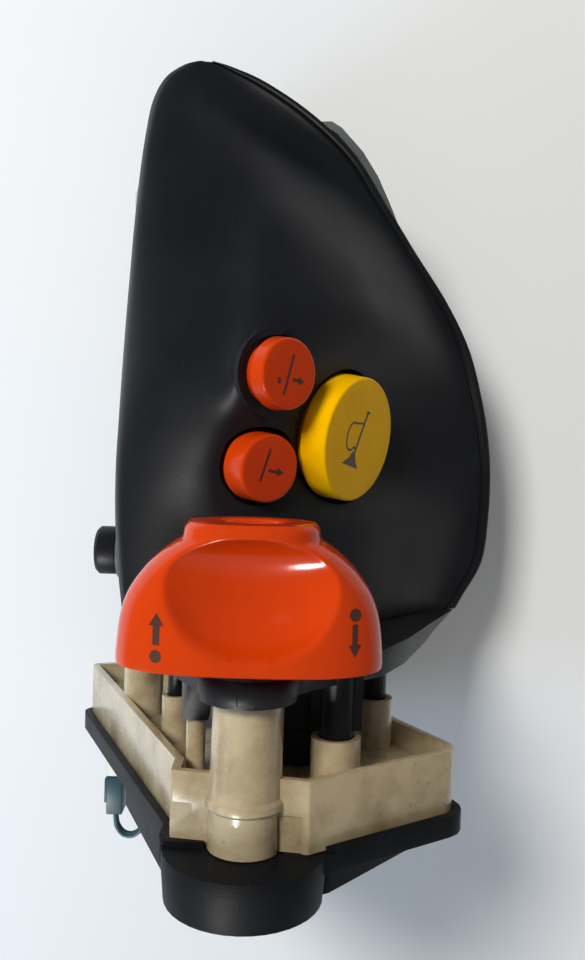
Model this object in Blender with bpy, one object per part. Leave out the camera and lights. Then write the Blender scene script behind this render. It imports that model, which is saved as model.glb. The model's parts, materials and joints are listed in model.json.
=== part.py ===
"""One-hand control head: a hand shell with three push buttons and a thumb rocker,
standing on a tray housing and a lower casing that hold the rocker's shaft and sensor.

Metres, +Z up along the rocker's shaft. The origin lies on the flat underside of the
lower casing, under the shaft. The user stands at -Y and looks along +Y.
"""

import math

import bmesh
import bpy
from mathutils import Matrix, Vector
from mathutils.bvhtree import BVHTree

# ---------------------------------------------------------------- driving sizes
GAP = 0.0003                 # left between pieces that touch
CHAMFER = 0.0006             # small edge break
WALL = 0.0022                # side walls of tray and casing

# lower casing
CASING_HEIGHT = 0.0125       # underside to the plane that the tray stands on
CASING_FLOOR = 0.0016
FLANGE_THICKNESS = 0.0045
FLANGE_OVERHANG = 0.0026     # flange edge outside the tray's wall
LIP_HEIGHT = 0.0012          # rim of the flange that stands up around the tray
POCKET_FLOOR = 0.0020
LOBE_RADIUS = 0.0204
LOBE_FOOT_RADIUS = 0.0198
LOBE_FOOT_SHIFT = 0.0004     # the lobe's foot lies further back than its top
LOBE_WALL = 0.0026
LOBE_PLATE = 0.0020
SHAFT_PAD_RADIUS = 0.0100    # pad under the tray's tube
PILLAR_RISE = 0.0036         # casing's pillars stand this far above the ledge
GASKET_THICKNESS = 0.0012
GASKET_WIDTH = 0.0016

# tray housing
TRAY_HEIGHT = 0.0180
DECK_HEIGHT = 0.0115         # top of the deck above the tray's foot
DECK_THICKNESS = 0.0020
TUBE_RADIUS = 0.0087
TUBE_FOOT_RADIUS = 0.0094
TUBE_STRAIGHT = 0.0060       # the tube is straight this far below its top
TUBE_BORE = 0.0060
TUBE_HEIGHT = 0.0402         # above the tray's foot
TUBE_BEAD = 0.0009           # the bead stands out this far
TUBE_BEAD_HEIGHT = 0.0116
TUBE_BEAD_WIDTH = 0.0034
PILLAR_RADIUS = 0.0048

# shaft line
SHAFT_RADIUS = 0.0040
SHAFT_RUNNING_CLEARANCE = 0.0001
SHAFT_FOOT = 0.0066          # shaft's lower end above the origin plane
BUSH_LENGTH = 0.0080
SEAL_HEIGHT = 0.0036
CLIP_RADIUS = 0.0064
CLIP_THICKNESS = 0.0008
SPRING_RADIUS = 0.0079
SPRING_WIRE = 0.0004
SPRING_TURNS = 1
SPRING_LEG_SPREAD = math.radians(11.0)
SPRING_LEG_LENGTH = 0.0050
HOLDER_RADIUS = 0.0060
HOLDER_HEIGHT = 0.0028
MAGNET_RADIUS = 0.0032
MAGNET_HEIGHT = 0.0016
BOARD_THICKNESS = 0.0008
SENSOR_CHIP_HEIGHT = 0.0009
SENSOR_CHIP_SIZE = (0.0050, 0.0042)
SENSOR_BOARD_SIZE = (0.0200, 0.0190)
SENSOR_BOARD_SHIFT = 0.0005
HOLDER_ARM_WIDTH = 0.0032
HOLDER_ARM_HEIGHT = 0.0020
DRIVE_PIN_RADIUS = 0.0009
DRIVE_PIN_REACH = 0.0101
CASING_PIN_REACH = 0.0126

# rocker knob
KNOB_CLEARANCE = 0.0015      # knob's foot above the shell's nose
KNOB_HALF_WIDTH = 0.0325
KNOB_HALF_DEPTH = 0.0185
KNOB_HEIGHT = 0.0345
KNOB_WEB = 0.0032            # floor of the screw recess
KNOB_RECESS_RADIUS = 0.0073
KNOB_RECESS_DEPTH = 0.0052
KNOB_CAP_THICKNESS = 0.0011  # cap that hides the knob's screw
KNOB_HEAD_RADIUS = 0.0043
KNOB_HEAD_HEIGHT = 0.0022
DISH_WIDTH = 0.0360          # semi-axes of the thumb dish's ellipsoid
DISH_DEPTH = 0.0215
DISH_HEIGHT = 0.0172
DISH_OUT = 0.0300            # dish centre in front of the shaft
DISH_UP = 0.0180             # dish centre above the knob's foot
KNOB_SCREW_RADIUS = 0.0016
KNOB_SCREW_LENGTH = 0.0125

# hand shell
SHELL_WALL = 0.0028
SLAB_LAP = 0.0030            # the floor reaches this far below the tube's top
SLAB_HEIGHT = 0.0073
SLAB_ROOF = 0.0026
NOSE_RADIUS = 0.0125
NOSE_FOOT_RADIUS = 0.0100
NOSE_DROP = 0.0008           # nose reaches this far below the floor
BOSS_RADIUS = 0.0036
POST_RIB = (0.0136, 0.0016)
LEAD_WAY_RADIUS = 0.0040
FLOOR_SCREWS = ((-0.0300, 0.0452), (0.0345, 0.0665))
FLOOR_BOSS_HEIGHT = 0.0140

# rear cover
COVER_WALL = 0.0024
COVER_BACK = 0.1120          # rear face, distance from the shaft
COVER_LEFT = -0.0498
COVER_RIGHT = 0.0340
COVER_RISE = 0.1675          # top of the cover above the floor's foot
COVER_CORNER = 0.0170
COVER_EDGE = 0.0040          # rounding round the rear face
COVER_RIM_GAP = 0.0009       # behind the face's wall
COVER_TOP_GAP = 0.0018       # more along its top, where the face leans back
COVER_RIM_STEP = 0.0010      # least distance between two points of the rim
COVER_INSET_END = 0.1250     # up to here the right rim lies one step inside the face's
COVER_OUTER_START = 0.1480   # from here up it follows the face's edge
COVER_FOOT_STEPS = 6         # pieces of the rim along its foot
SPIGOT_RADIUS = 0.0080
SPIGOT_SHANK = 0.0052
SPIGOT_LENGTH = 0.0071
SPIGOT_SEAT = -0.0480        # X of the stub's inner shoulder
SPIGOT_Y = 0.0800
SPIGOT_RISE = 0.0258         # its axis above the floor's foot

# fasteners
SCREW_RADIUS = 0.0018
SCREW_HEAD_RADIUS = 0.0034
SCREW_HEAD_HEIGHT = 0.0024
SCREW_ENGAGEMENT = 0.0120    # screw inside its post

# lead below the flange
LEAD_DIAMETER = 0.0015
LEAD_SPACING = 0.0024
SOCKET_SIZE = (0.0062, 0.0084)
SOCKET_DROP = 0.0125         # white socket below the flange's pocket floor
SOCKET_HEAD = 0.0025         # its head stands on the pocket floor
PLUG_HEIGHT = 0.0130

# places in plan (X, Y); the tray's corners have a radius as well
TRAY_CORNERS = ((-0.0188, 0.0008, 0.0008), (0.0158, -0.0046, 0.0010),
                (0.0578, 0.0238, 0.0060), (-0.0020, 0.1280, 0.0080),
                (-0.0622, 0.1070, 0.0030), (-0.0188, 0.0092, 0.0010))
TUB_CORNER_RADIUS = 0.0040
LEAST_RADIUS = 0.0005            # of an inner corner
TUB_CORNERS = ((-0.0190, 0.0040), (0.0205, 0.0010), (0.0532, 0.0380),
               (0.0440, 0.0600), (0.0060, 0.0980), (-0.0400, 0.0560))
# right edge of the hand shell's floor: X, Y and how far its foot is drawn in
FLOOR_EDGE = ((0.0123, 0.0020, 0), (0.0161, 0.0070, 0), (0.0225, 0.0130, 0),
              (0.0289, 0.0180, 0), (0.0355, 0.0235, 0.0002), (0.0444, 0.0400, 0.0010),
              (0.0570, 0.0700, 0.0032), (0.0662, 0.0910, 0.0062), (0.0600, 0.1020, 0.0062))
FLOOR_LEFT_EDGE = ((-0.0440, 0.1020), (-0.0420, 0.0560), (-0.0397, 0.0440),
                   (-0.0330, 0.0330), (-0.0210, 0.0180), (-0.0168, 0.0100),
                   (-0.0122, 0.0030))
# each cup: name, X, Y, outer radius, rim above the tray's foot, post radius, screwed
CUPS = (("front", 0.0229, 0.0175, 0.0067, 0.0225, 0.0046, True),
        ("right", 0.0352, 0.0450, 0.0056, 0.0258, 0.0036, True),
        ("left", -0.0370, 0.0700, 0.0063, 0.0273, 0.0040, True),
        ("rear", 0.0020, 0.1010, 0.0063, 0.0273, 0.0040, True),
        ("peg", -0.0232, 0.0450, 0.0043, 0.0248, 0.0026, False))
PEG_PLACE = (-0.0144, 0.0165)    # plain peg beside the tube
PEG_RADIUS = 0.0026
PEG_HEIGHT = 0.0266
FOOT_BLOCK = (0.0070, 0.0070)    # shell's block that stands on the peg
UNIT_PLUG_PLACE = (0.0139, 0.0280)
UNIT_PLUG_SIZE = (0.0100, 0.0080)
UNIT_PLUG_RISE = 0.0101      # plug's foot above the deck
UNIT_LEAD_RADIUS = 0.0014
UNIT_LEAD_RISE = (0.0100, 0.0620)    # where the lead passes the shell's floor
BOARD_PLACE = (-0.0020, 0.0620)
BOARD_SIZE = (0.0400, 0.0500)
BOARD_TURN = math.radians(28.0)
BOARD_DROP = 0.0045          # main board below the deck
SOCKET_PLACE = (-0.0484, 0.0880)
GROMMET_PLACE = (-0.0350, 0.0840)
GROMMET_RADIUS = 0.0034
COVER_SCREWS = ((-0.0300, 0.0328), (-0.0270, 0.1438), (0.0080, 0.1438), (0.0190, 0.0278))

# cover screws: X and the height above the floor's foot
# each button: name, face centre (Z above the floor's foot), face normal, radius,
# height over the shell, travel
BUTTONS = (("lift", (0.0078, 0.0260, 0.0817), (0.670, -0.740, -0.060), 0.0102, 0.0050, 0.0025),
           ("lower", (0.0030, 0.0330, 0.0555), (0.600, -0.790, -0.100), 0.0101, 0.0088, 0.0025),
           ("horn", (0.0292, 0.0510, 0.0646), (0.810, -0.570, -0.140), 0.0191, 0.0085, 0.0022))
BUTTON_CLEARANCE = 0.00035
BUTTON_DISH = 0.0006
SKIRT_SHARE = 0.86           # guided skirt's radius against the cap's
SKIRT_LENGTH = 0.0040
BUCKET_WALL = 0.0016
BUCKET_FLOOR = 0.0015
BUCKET_LIP = 0.0026          # the sleeve starts this far below the shell's surface
STEM_RADIUS = 0.0024
BARB_RADIUS = 0.0030
BARB_LENGTH = 0.0016
SWITCH_SIZE = (0.0080, 0.0120, 0.0090)

# hand shell's face: rows at rising height above the floor's foot, each with the same ten
# stations across: rim, left corner, left panel, valley, crest, facet, ridge, flank, lip,
# rim (X, Y in mm)
FACE_ROWS = (
    (5.8, ((-39.3, 43.6), (-36.5, 40.7), (-27.0, 40.0), (-10, 41.0), (3, 42.2),
            (16, 46.5), (31, 57.5), (44, 72.0), (58, 87.5), (66.5, 92.0))),
    (11.8, ((-39.7, 43.5), (-36.7, 40.5), (-27.0, 39.7), (-10, 40.7), (3, 41.8),
            (16, 46.0), (31, 57.0), (45, 72.0), (60, 88.5), (70.0, 93.2))),
    (23.8, ((-41.6, 45.5), (-38.5, 41.2), (-28.0, 39.2), (-11, 40.2), (2, 41.0),
            (15, 45.2), (31, 57.5), (47, 74.0), (66, 92.5), (77.2, 97.0))),
    (39.8, ((-43.0, 46.5), (-40.0, 41.2), (-29.0, 38.2), (-12, 38.8), (1, 39.0),
            (14, 45.0), (31, 58.5), (48, 75.0), (68, 93.5), (79.2, 98.0))),
    (54.8, ((-43.3, 47.2), (-40.5, 41.2), (-29.0, 36.2), (-14, 34.6), (-4, 37.8),
             (8, 42.6), (31, 69.0), (44, 79.5), (68.5, 94.0), (79.3, 98.0))),
    (67.8, ((-43.0, 48.3), (-40.0, 41.3), (-29.0, 34.8), (-14, 31.4), (-4, 33.4),
             (9.5, 38.8), (33.5, 71.0), (45, 80.0), (67.5, 92.8), (77.6, 96.3))),
    (81.8, ((-42.6, 49.5), (-39.5, 42.0), (-29.0, 34.5), (-13, 30.0), (-4, 25.6),
             (11, 35.6), (30.5, 60.5), (44, 74.5), (65.5, 91.0), (74.3, 94.2))),
    (97.8, ((-42.0, 50.8), (-39.0, 44.0), (-29.0, 37.5), (-12, 34.0), (0, 29.5),
             (14, 36.5), (30, 50.5), (45, 68.0), (60, 87.8), (68.8, 91.3))),
    (112.8, ((-41.3, 52.0), (-38.5, 46.0), (-29.0, 41.0), (-12, 39.0), (0, 35.0),
             (12, 40.0), (27, 52.5), (39, 68.0), (51.5, 83.5), (60.0, 87.6))),
    (127.8, ((-40.7, 54.0), (-38.0, 48.5), (-29.0, 44.7), (-12, 43.8), (0, 42.0),
             (10, 47.0), (22, 58.5), (32, 70.0), (42, 80.3), (48.6, 83.3))),
    (142.8, ((-39.8, 56.0), (-37.0, 51.5), (-29.0, 48.9), (-13, 49.6), (-2, 52.0),
             (7, 57.6), (16, 65.3), (24.5, 72.8), (32, 77.0), (37.2, 77.9))),
    (155.8, ((-38.6, 57.8), (-36.0, 54.0), (-29.0, 52.5), (-17, 55.2), (-8, 59.0),
             (0, 64.2), (7, 69.0), (14, 72.2), (21.5, 73.8), (27.0, 73.4))),
    (166.8, ((-36.9, 60.0), (-34.3, 57.5), (-29.0, 57.2), (-21, 60.0), (-14, 62.8),
             (-8, 65.4), (-2.5, 67.3), (3, 68.4), (8, 68.7), (12.5, 67.9))),
    (174.8, ((-31.8, 62.0), (-30.0, 60.8), (-27.0, 61.0), (-22.5, 62.5), (-18.5, 63.6),
             (-14.5, 64.3), (-11, 64.7), (-7.5, 64.7), (-5, 64.4), (-2.5, 63.8))),
    (179.8, ((-26.0, 63.2), (-24.8, 62.9), (-23.6, 62.8), (-22.4, 63.0), (-21.2, 63.2),
             (-20.0, 63.4), (-18.8, 63.5), (-17.6, 63.5), (-16.4, 63.4), (-15.2, 63.2))),
)
FACE_STEPS = 2               # patches between two stations, each way
FACE_UNIT = 0.001            # the net is given in millimetres

# derived heights
FLANGE_BOTTOM = CASING_HEIGHT - FLANGE_THICKNESS
LEDGE = CASING_HEIGHT - GASKET_THICKNESS - 2 * GAP
LOBE_TOP = CASING_HEIGHT - GAP
DECK_TOP = CASING_HEIGHT + DECK_HEIGHT
DECK_BOTTOM = DECK_TOP - DECK_THICKNESS
TRAY_TOP = CASING_HEIGHT + TRAY_HEIGHT
TUBE_TOP = CASING_HEIGHT + TUBE_HEIGHT
PILLAR_TOP = LEDGE + PILLAR_RISE
SLAB_BOTTOM = TUBE_TOP - SLAB_LAP
SLAB_TOP = SLAB_BOTTOM + SLAB_HEIGHT
SLAB_CEILING = SLAB_TOP - SLAB_ROOF
KNOB_BOTTOM = SLAB_TOP + KNOB_CLEARANCE
KNOB_TOP = KNOB_BOTTOM + KNOB_HEIGHT
KNOB_RECESS_FLOOR = KNOB_TOP - KNOB_RECESS_DEPTH
SHAFT_TOP = KNOB_RECESS_FLOOR - KNOB_WEB - GAP
SHAFT_BORE = SHAFT_RADIUS + SHAFT_RUNNING_CLEARANCE
LOBE_CEILING = LOBE_TOP - LOBE_PLATE
COVER_TOP = SLAB_BOTTOM + COVER_RISE
SPIGOT_Z = SLAB_BOTTOM + SPIGOT_RISE
UNIT_PLUG_BOTTOM = DECK_TOP + UNIT_PLUG_RISE
UP = Vector((0.0, 0.0, 1.0))


# ---------------------------------------------------------------- materials
def material(name, colour, roughness, metallic=0.0):
    """A plain surface colour for one kind of plastic or metal."""
    found = bpy.data.materials.get(name)
    if found:
        return found
    made = bpy.data.materials.new(name)
    made.use_nodes = True
    shader = made.node_tree.nodes["Principled BSDF"]
    shader.inputs["Base Color"].default_value = (*colour, 1.0)
    shader.inputs["Roughness"].default_value = roughness
    shader.inputs["Metallic"].default_value = metallic
    return made


BLACK = material("black_plastic", (0.012, 0.013, 0.015), 0.38)
CASING_BLACK = material("casing_plastic", (0.020, 0.024, 0.026), 0.45)
BEIGE = material("beige_plastic", (0.560, 0.440, 0.270), 0.50)
RED = material("orange_red_plastic", (0.760, 0.050, 0.008), 0.22)
YELLOW = material("yellow_plastic", (0.870, 0.480, 0.005), 0.30)
GREY = material("grey_plastic", (0.060, 0.064, 0.064), 0.20)
WHITE = material("white_plastic", (0.700, 0.690, 0.640), 0.45)
TEAL = material("teal_wire", (0.030, 0.160, 0.190), 0.45)
RUBBER = material("rubber", (0.015, 0.015, 0.015), 0.80)
STEEL = material("steel", (0.560, 0.560, 0.570), 0.30, 1.0)
BRONZE = material("bearing_bronze", (0.520, 0.330, 0.130), 0.35, 1.0)
BOARD = material("board_green", (0.010, 0.110, 0.040), 0.40)
MAGNET = material("magnet", (0.330, 0.330, 0.340), 0.35, 1.0)


# ---------------------------------------------------------------- mesh helpers
def finish(name, bm, surface, sharp=math.radians(35.0)):
    """Puts a bmesh into a named object with one material, smooth where it is round."""
    bmesh.ops.remove_doubles(bm, verts=bm.verts, dist=1e-7)
    bmesh.ops.recalc_face_normals(bm, faces=bm.faces)
    mesh = bpy.data.meshes.new(name)
    bm.to_mesh(mesh)
    bm.free()
    mesh.shade_smooth()
    mesh.set_sharp_from_angle(angle=sharp)
    mesh.materials.append(surface)
    made = bpy.data.objects.new(name, mesh)
    bpy.context.scene.collection.objects.link(made)
    return made


def loft(name, rings, surface):
    """A closed solid through rings of points, with a flat cap at each end."""
    bm = bmesh.new()
    loops = [[bm.verts.new(point) for point in ring] for ring in rings]
    count = len(loops[0])
    for lower, upper in zip(loops, loops[1:]):
        for i in range(count):
            j = (i + 1) % count
            bm.faces.new((lower[i], lower[j], upper[j], upper[i]))
    bm.faces.new(list(reversed(loops[0])))
    bm.faces.new(loops[-1])
    return finish(name, bm, surface)


def prism(name, outline, bottom, top, surface):
    """A plan outline stretched from one height to another."""
    return loft(name, [[(x, y, z) for x, y in outline] for z in (bottom, top)], surface)


def turned(name, profile, surface, steps=24):
    """A closed (radius, height) profile turned about Z; points at radius 0 close it."""
    bm = bmesh.new()
    rows = []
    for radius, height in profile:
        if radius < 1e-6:
            rows.append([bm.verts.new((0.0, 0.0, height))])
            continue
        turn = [math.tau * i / steps for i in range(steps)]
        rows.append([bm.verts.new((radius * math.cos(a), radius * math.sin(a), height))
                     for a in turn])
    pairs = list(zip(rows, rows[1:]))
    if len(rows[0]) > 1:
        pairs.append((rows[-1], rows[0]))
    for first, second in pairs:
        for i in range(steps):
            j = (i + 1) % steps
            corners = [first[i % len(first)], first[j % len(first)],
                       second[j % len(second)], second[i % len(second)]]
            corners = list(dict.fromkeys(corners))
            if len(corners) > 2:
                bm.faces.new(corners)
    return finish(name, bm, surface)


def rod(name, radius, bottom, top, surface, steps=24):
    """A plain round bar along Z."""
    return turned(name, ((0, bottom), (radius, bottom), (radius, top), (0, top)), surface, steps)


def ring(name, inner, outer, bottom, top, surface, steps=24):
    """A plain tube along Z."""
    profile = ((inner, bottom), (outer, bottom), (outer, top), (inner, top))
    return turned(name, profile, surface, steps)


def box(name, centre, size, bottom, top, surface, turn=0.0):
    """A rectangular block, turned about its own upright axis."""
    half_x, half_y = size[0] / 2, size[1] / 2
    c, s = math.cos(turn), math.sin(turn)
    corners = ((-half_x, -half_y), (half_x, -half_y), (half_x, half_y), (-half_x, half_y))
    outline = [(centre[0] + c * x - s * y, centre[1] + s * x + c * y) for x, y in corners]
    return prism(name, outline, bottom, top, surface)


def at(thing, x, y, z=0.0):
    """Moves an object to a place."""
    thing.location = (x, y, z)
    return thing


def aimed(thing, origin, direction):
    """Turns an object's Z axis into a direction, at a place."""
    turn = UP.rotation_difference(Vector(direction).normalized()).to_matrix().to_4x4()
    thing.matrix_world = Matrix.Translation(origin) @ turn
    return thing


def combine(target, tool, operation, folded=False):
    """Joins a tool to a target or cuts it away, and removes the tool."""
    step = target.modifiers.new(operation.lower(), "BOOLEAN")
    step.operation = operation
    step.solver = "EXACT"
    step.use_self = folded
    step.object = tool
    bpy.context.view_layer.update()
    graph = bpy.context.evaluated_depsgraph_get()
    mesh = bpy.data.meshes.new_from_object(target.evaluated_get(graph))
    bm = bmesh.new()
    bm.from_mesh(mesh)
    bmesh.ops.remove_doubles(bm, verts=bm.verts, dist=2e-6)
    bmesh.ops.dissolve_degenerate(bm, edges=bm.edges, dist=2e-6)
    bmesh.ops.triangulate(bm, faces=bm.faces)
    bm.to_mesh(mesh)
    bm.free()
    target.modifiers.clear()
    target.data = mesh
    mesh.name = target.name
    bpy.data.objects.remove(tool)


def flatten(thing):
    """Merges the triangles of each flat face again once all cuts are made."""
    bm = bmesh.new()
    bm.from_mesh(thing.data)
    bmesh.ops.dissolve_limit(bm, angle_limit=math.radians(0.3), verts=bm.verts,
                             edges=bm.edges, use_dissolve_boundaries=False)
    bm.to_mesh(thing.data)
    bm.free()
    thing.data.shade_smooth()
    thing.data.set_sharp_from_angle(angle=math.radians(35.0))
    return thing


def join(target, *tools):
    """Unites tools with a target."""
    for tool in tools:
        combine(target, tool, "UNION")
    return target


def cut(target, *tools):
    """Cuts tools out of a target."""
    for tool in tools:
        combine(target, tool, "DIFFERENCE")
    return target


def tube_along(name, points, radius, surface, sides=2):
    """A round cord as a poly curve with filled caps."""
    curve = bpy.data.curves.new(name, "CURVE")
    curve.dimensions = "3D"
    curve.bevel_depth = radius
    curve.bevel_resolution = sides
    curve.use_fill_caps = True
    spline = curve.splines.new("POLY")
    spline.points.add(len(points) - 1)
    for place, point in zip(spline.points, points):
        place.co = (*point, 1.0)
    curve.materials.append(surface)
    made = bpy.data.objects.new(name, curve)
    bpy.context.scene.collection.objects.link(made)
    return made


# ---------------------------------------------------------------- outlines
def offset(corners, distance):
    """A polygon moved outwards by a distance, with mitred corners."""
    moved = []
    count = len(corners)
    for i in range(count):
        before = Vector(corners[i - 1][:2])
        here = Vector(corners[i][:2])
        after = Vector(corners[(i + 1) % count][:2])
        first = (here - before).normalized()
        second = (after - here).normalized()
        out_first = Vector((first.y, -first.x))
        out_second = Vector((second.y, -second.x))
        reach = distance / (1.0 + out_first.dot(out_second))
        moved.append(tuple(here + (out_first + out_second) * reach))
    return moved


def rounded(corners, radii, steps=4):
    """A polygon with every corner turned into an arc of its own radius."""
    points = []
    count = len(corners)
    for i in range(count):
        before = Vector(corners[i - 1])
        here = Vector(corners[i])
        after = Vector(corners[(i + 1) % count])
        to_before = (before - here).normalized()
        to_after = (after - here).normalized()
        half = to_before.angle(to_after) / 2
        longest = min((before - here).length, (after - here).length) * 0.45
        cut_back = min(radii[i] / math.tan(half), longest)
        arc = cut_back * math.tan(half)
        centre = here + (to_before + to_after).normalized() * (arc / math.sin(half))
        start = here + to_before * cut_back - centre
        end = here + to_after * cut_back - centre
        sweep = start.angle_signed(end)
        for k in range(steps + 1):
            turned_by = Matrix.Rotation(-sweep * k / steps, 2)
            points.append(tuple(centre + turned_by @ start))
    return points


def tray_outline(distance):
    """The tray's wall line, moved outwards."""
    radii = [max(radius + distance, LEAST_RADIUS) for _, _, radius in TRAY_CORNERS]
    return rounded(offset(TRAY_CORNERS, distance), radii)


def tub_outline(distance):
    """The deep part of the lower casing, moved outwards."""
    radius = max(TUB_CORNER_RADIUS + distance, LEAST_RADIUS)
    return rounded(offset(TUB_CORNERS, distance), [radius] * len(TUB_CORNERS))


def floor_outline(distance, drawn_in=0.0):
    """The hand shell's floor: a round nose about the shaft, widening to the back."""
    nose = [(NOSE_RADIUS * math.sin(a), -NOSE_RADIUS * math.cos(a))
            for a in [math.radians(-70 + 20 * i) for i in range(8)]]
    right = [(x - tuck * drawn_in, y) for x, y, tuck in FLOOR_EDGE]
    return offset(nose + right + list(FLOOR_LEFT_EDGE), distance)


# ---------------------------------------------------------------- hand shell's face
def blend(a, b, c, d, t):
    """A smooth curve through b and c, guided by a and d."""
    return 0.5 * (2 * b + (c - a) * t + (2 * a - 5 * b + 4 * c - d) * t ** 2
                  + (3 * b - a - 3 * c + d) * t ** 3)


def along(points, place):
    """A point at a fractional index of a list of points."""
    last = len(points) - 1
    i = min(int(place), last - 1)
    four = [points[min(max(k, 0), last)] for k in (i - 1, i, i + 1, i + 2)]
    return blend(*four, place - i)


def face_net():
    """The control points of the face, row by row, in metres."""
    foot = Vector((0.0, 0.0, SLAB_BOTTOM))
    return [[foot + Vector((x, y, z)) * FACE_UNIT for x, y in row] for z, row in FACE_ROWS]


def face_grid(steps):
    """The face as rows of points, with steps between the control points."""
    net = face_net()
    across = range((len(net[0]) - 1) * steps + 1)
    up = range((len(net) - 1) * steps + 1)
    rows = [[along(row, i / steps) for i in across] for row in net]
    columns = [[along([row[i] for row in rows], j / steps) for j in up] for i in across]
    return [[column[j] for column in columns] for j in up]


def grid_normals(grid):
    """Unit normals of a grid of points, facing the user."""
    normals = []
    for j, row in enumerate(grid):
        line = []
        for i in range(len(row)):
            side = row[min(i + 1, len(row) - 1)] - row[max(i - 1, 0)]
            rise = grid[min(j + 1, len(grid) - 1)][i] - grid[max(j - 1, 0)][i]
            line.append(side.cross(rise).normalized())
        normals.append(line)
    return normals


def boss_start(grid, x, z):
    """How far back a boss may start without coming through the sloping face."""
    columns = len(grid[0])
    points = [point for row in grid for point in row]
    quads = [(j * columns + i, j * columns + i + 1, (j + 1) * columns + i + 1,
              (j + 1) * columns + i) for j in range(len(grid) - 1) for i in range(columns - 1)]
    tree = BVHTree.FromPolygons(points, quads)
    depths = []
    for k in range(12):
        side = BOSS_RADIUS * math.cos(math.tau * k / 12)
        rise = BOSS_RADIUS * math.sin(math.tau * k / 12)
        hit = tree.ray_cast(Vector((x + side, -0.2, z + rise)), Vector((0, 1, 0)))[0]
        depths.append(hit.y)
    return max(depths) + 0.0008


def shell_face(grid, inner):
    """The face as a wall: its grid, the same grid set back, and the edge between."""
    bm = bmesh.new()
    front = [[bm.verts.new(p) for p in row] for row in grid]
    back = [[bm.verts.new(p) for p in row] for row in inner]
    rows, columns = len(grid), len(grid[0])
    for j in range(rows - 1):
        for i in range(columns - 1):
            bm.faces.new((front[j][i], front[j][i + 1], front[j + 1][i + 1], front[j + 1][i]))
            bm.faces.new((back[j][i], back[j + 1][i], back[j + 1][i + 1], back[j][i + 1]))
    edge = ([(0, i) for i in range(columns)] + [(j, columns - 1) for j in range(1, rows)]
            + [(rows - 1, i) for i in range(columns - 2, -1, -1)]
            + [(j, 0) for j in range(rows - 2, 0, -1)])
    for (j, i), (l, k) in zip(edge, edge[1:] + edge[:1]):
        bm.faces.new((front[j][i], back[j][i], back[l][k], front[l][k]))
    bmesh.ops.triangulate(bm, faces=bm.faces)
    return finish("hand_shell", bm, BLACK)


def button_frame(centre, normal):
    """A button's face centre and its unit axis, pointing out of the shell."""
    return Vector(centre) + UP * SLAB_BOTTOM, Vector(normal).normalized()


# ---------------------------------------------------------------- lower casing group
def lower_casing():
    """Flanged casing: a tub, a round lobe under the shaft and a lip around the tray."""
    casing = prism("lower_casing", tray_outline(FLANGE_OVERHANG), FLANGE_BOTTOM,
                   CASING_HEIGHT + LIP_HEIGHT, CASING_BLACK)
    tub = prism("tub", tub_outline(0), 0, FLANGE_BOTTOM + 0.001, CASING_BLACK)
    join(casing, tub)
    trim = box("trim", (0, -LOBE_RADIUS), (LOBE_RADIUS * 2.2, LOBE_RADIUS * 2 - 0.004),
               LOBE_TOP, CASING_HEIGHT + LIP_HEIGHT * 2, CASING_BLACK)
    cut(casing, trim)
    steps = 40
    lobe_rings = []
    for radius, shift, z in ((LOBE_FOOT_RADIUS, LOBE_FOOT_SHIFT, 0.0),
                             (LOBE_RADIUS, 0.0, FLANGE_BOTTOM), (LOBE_RADIUS, 0.0, LOBE_TOP)):
        lobe_rings.append([(radius * math.cos(math.tau * i / steps),
                            radius * math.sin(math.tau * i / steps) + shift, z)
                           for i in range(steps)])
    join(casing, loft("lobe", lobe_rings, CASING_BLACK))
    cut(casing, prism("tray_seat", tray_outline(GAP), LEDGE, TRAY_TOP, CASING_BLACK))
    inside = tray_outline(-WALL - 0.0016)
    cut(casing, prism("pocket", inside, FLANGE_BOTTOM + POCKET_FLOOR, TRAY_TOP, CASING_BLACK))
    cut(casing, prism("tub_room", tub_outline(-WALL), CASING_FLOOR, FLANGE_BOTTOM + 0.004,
                      CASING_BLACK))
    cut(casing, rod("lobe_room", LOBE_FOOT_RADIUS - LOBE_WALL, CASING_FLOOR, LOBE_CEILING,
                    CASING_BLACK, 32))
    join(casing, rod("plate", SHAFT_PAD_RADIUS, LOBE_CEILING, LOBE_TOP, CASING_BLACK, 24))
    cut(casing, rod("tube_room", TUBE_FOOT_RADIUS + 2 * GAP, LOBE_TOP, TRAY_TOP, CASING_BLACK, 32))
    cut(casing, rod("shaft_hole", SHAFT_BORE + 0.0007, LOBE_CEILING - 0.001, TRAY_TOP,
                    CASING_BLACK))
    join(casing, at(rod("spring_post", 0.0013, CASING_FLOOR - 0.0005, LOBE_CEILING - 0.0006,
                        CASING_BLACK, 10), 0, -CASING_PIN_REACH))
    for _, x, y, _, _, _, screwed in CUPS:
        if screwed:
            foot = 0.0 if inside_tub(x, y) else FLANGE_BOTTOM
            join(casing, at(rod("pillar", PILLAR_RADIUS, foot + 0.0008, PILLAR_TOP, CASING_BLACK,
                                16), x, y))
            cut(casing, at(rod("hole", SCREW_RADIUS + GAP, -0.001, PILLAR_TOP + 0.001,
                               CASING_BLACK, 12), x, y))
            cut(casing, at(rod("head_room", SCREW_HEAD_RADIUS + GAP, -0.001,
                               foot + SCREW_HEAD_HEIGHT + 0.0006, CASING_BLACK, 16), x, y))
    cut(casing, at(rod("lead_hole", GROMMET_RADIUS - 0.0009, 0.002, CASING_HEIGHT,
                       CASING_BLACK, 16), *GROMMET_PLACE))
    cut(casing, box("socket_hole", SOCKET_PLACE,
                    (SOCKET_SIZE[0] + 2 * GAP, SOCKET_SIZE[1] + 2 * GAP), 0.002, CASING_HEIGHT,
                    CASING_BLACK))
    return flatten(casing)


def inside_tub(x, y):
    """True where a place lies over the deep part of the casing."""
    count = len(TUB_CORNERS)
    for i in range(count):
        a = Vector(TUB_CORNERS[i])
        b = Vector(TUB_CORNERS[(i + 1) % count])
        if (b - a).cross(Vector((x, y)) - a) < 0:
            return False
    return True


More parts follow.
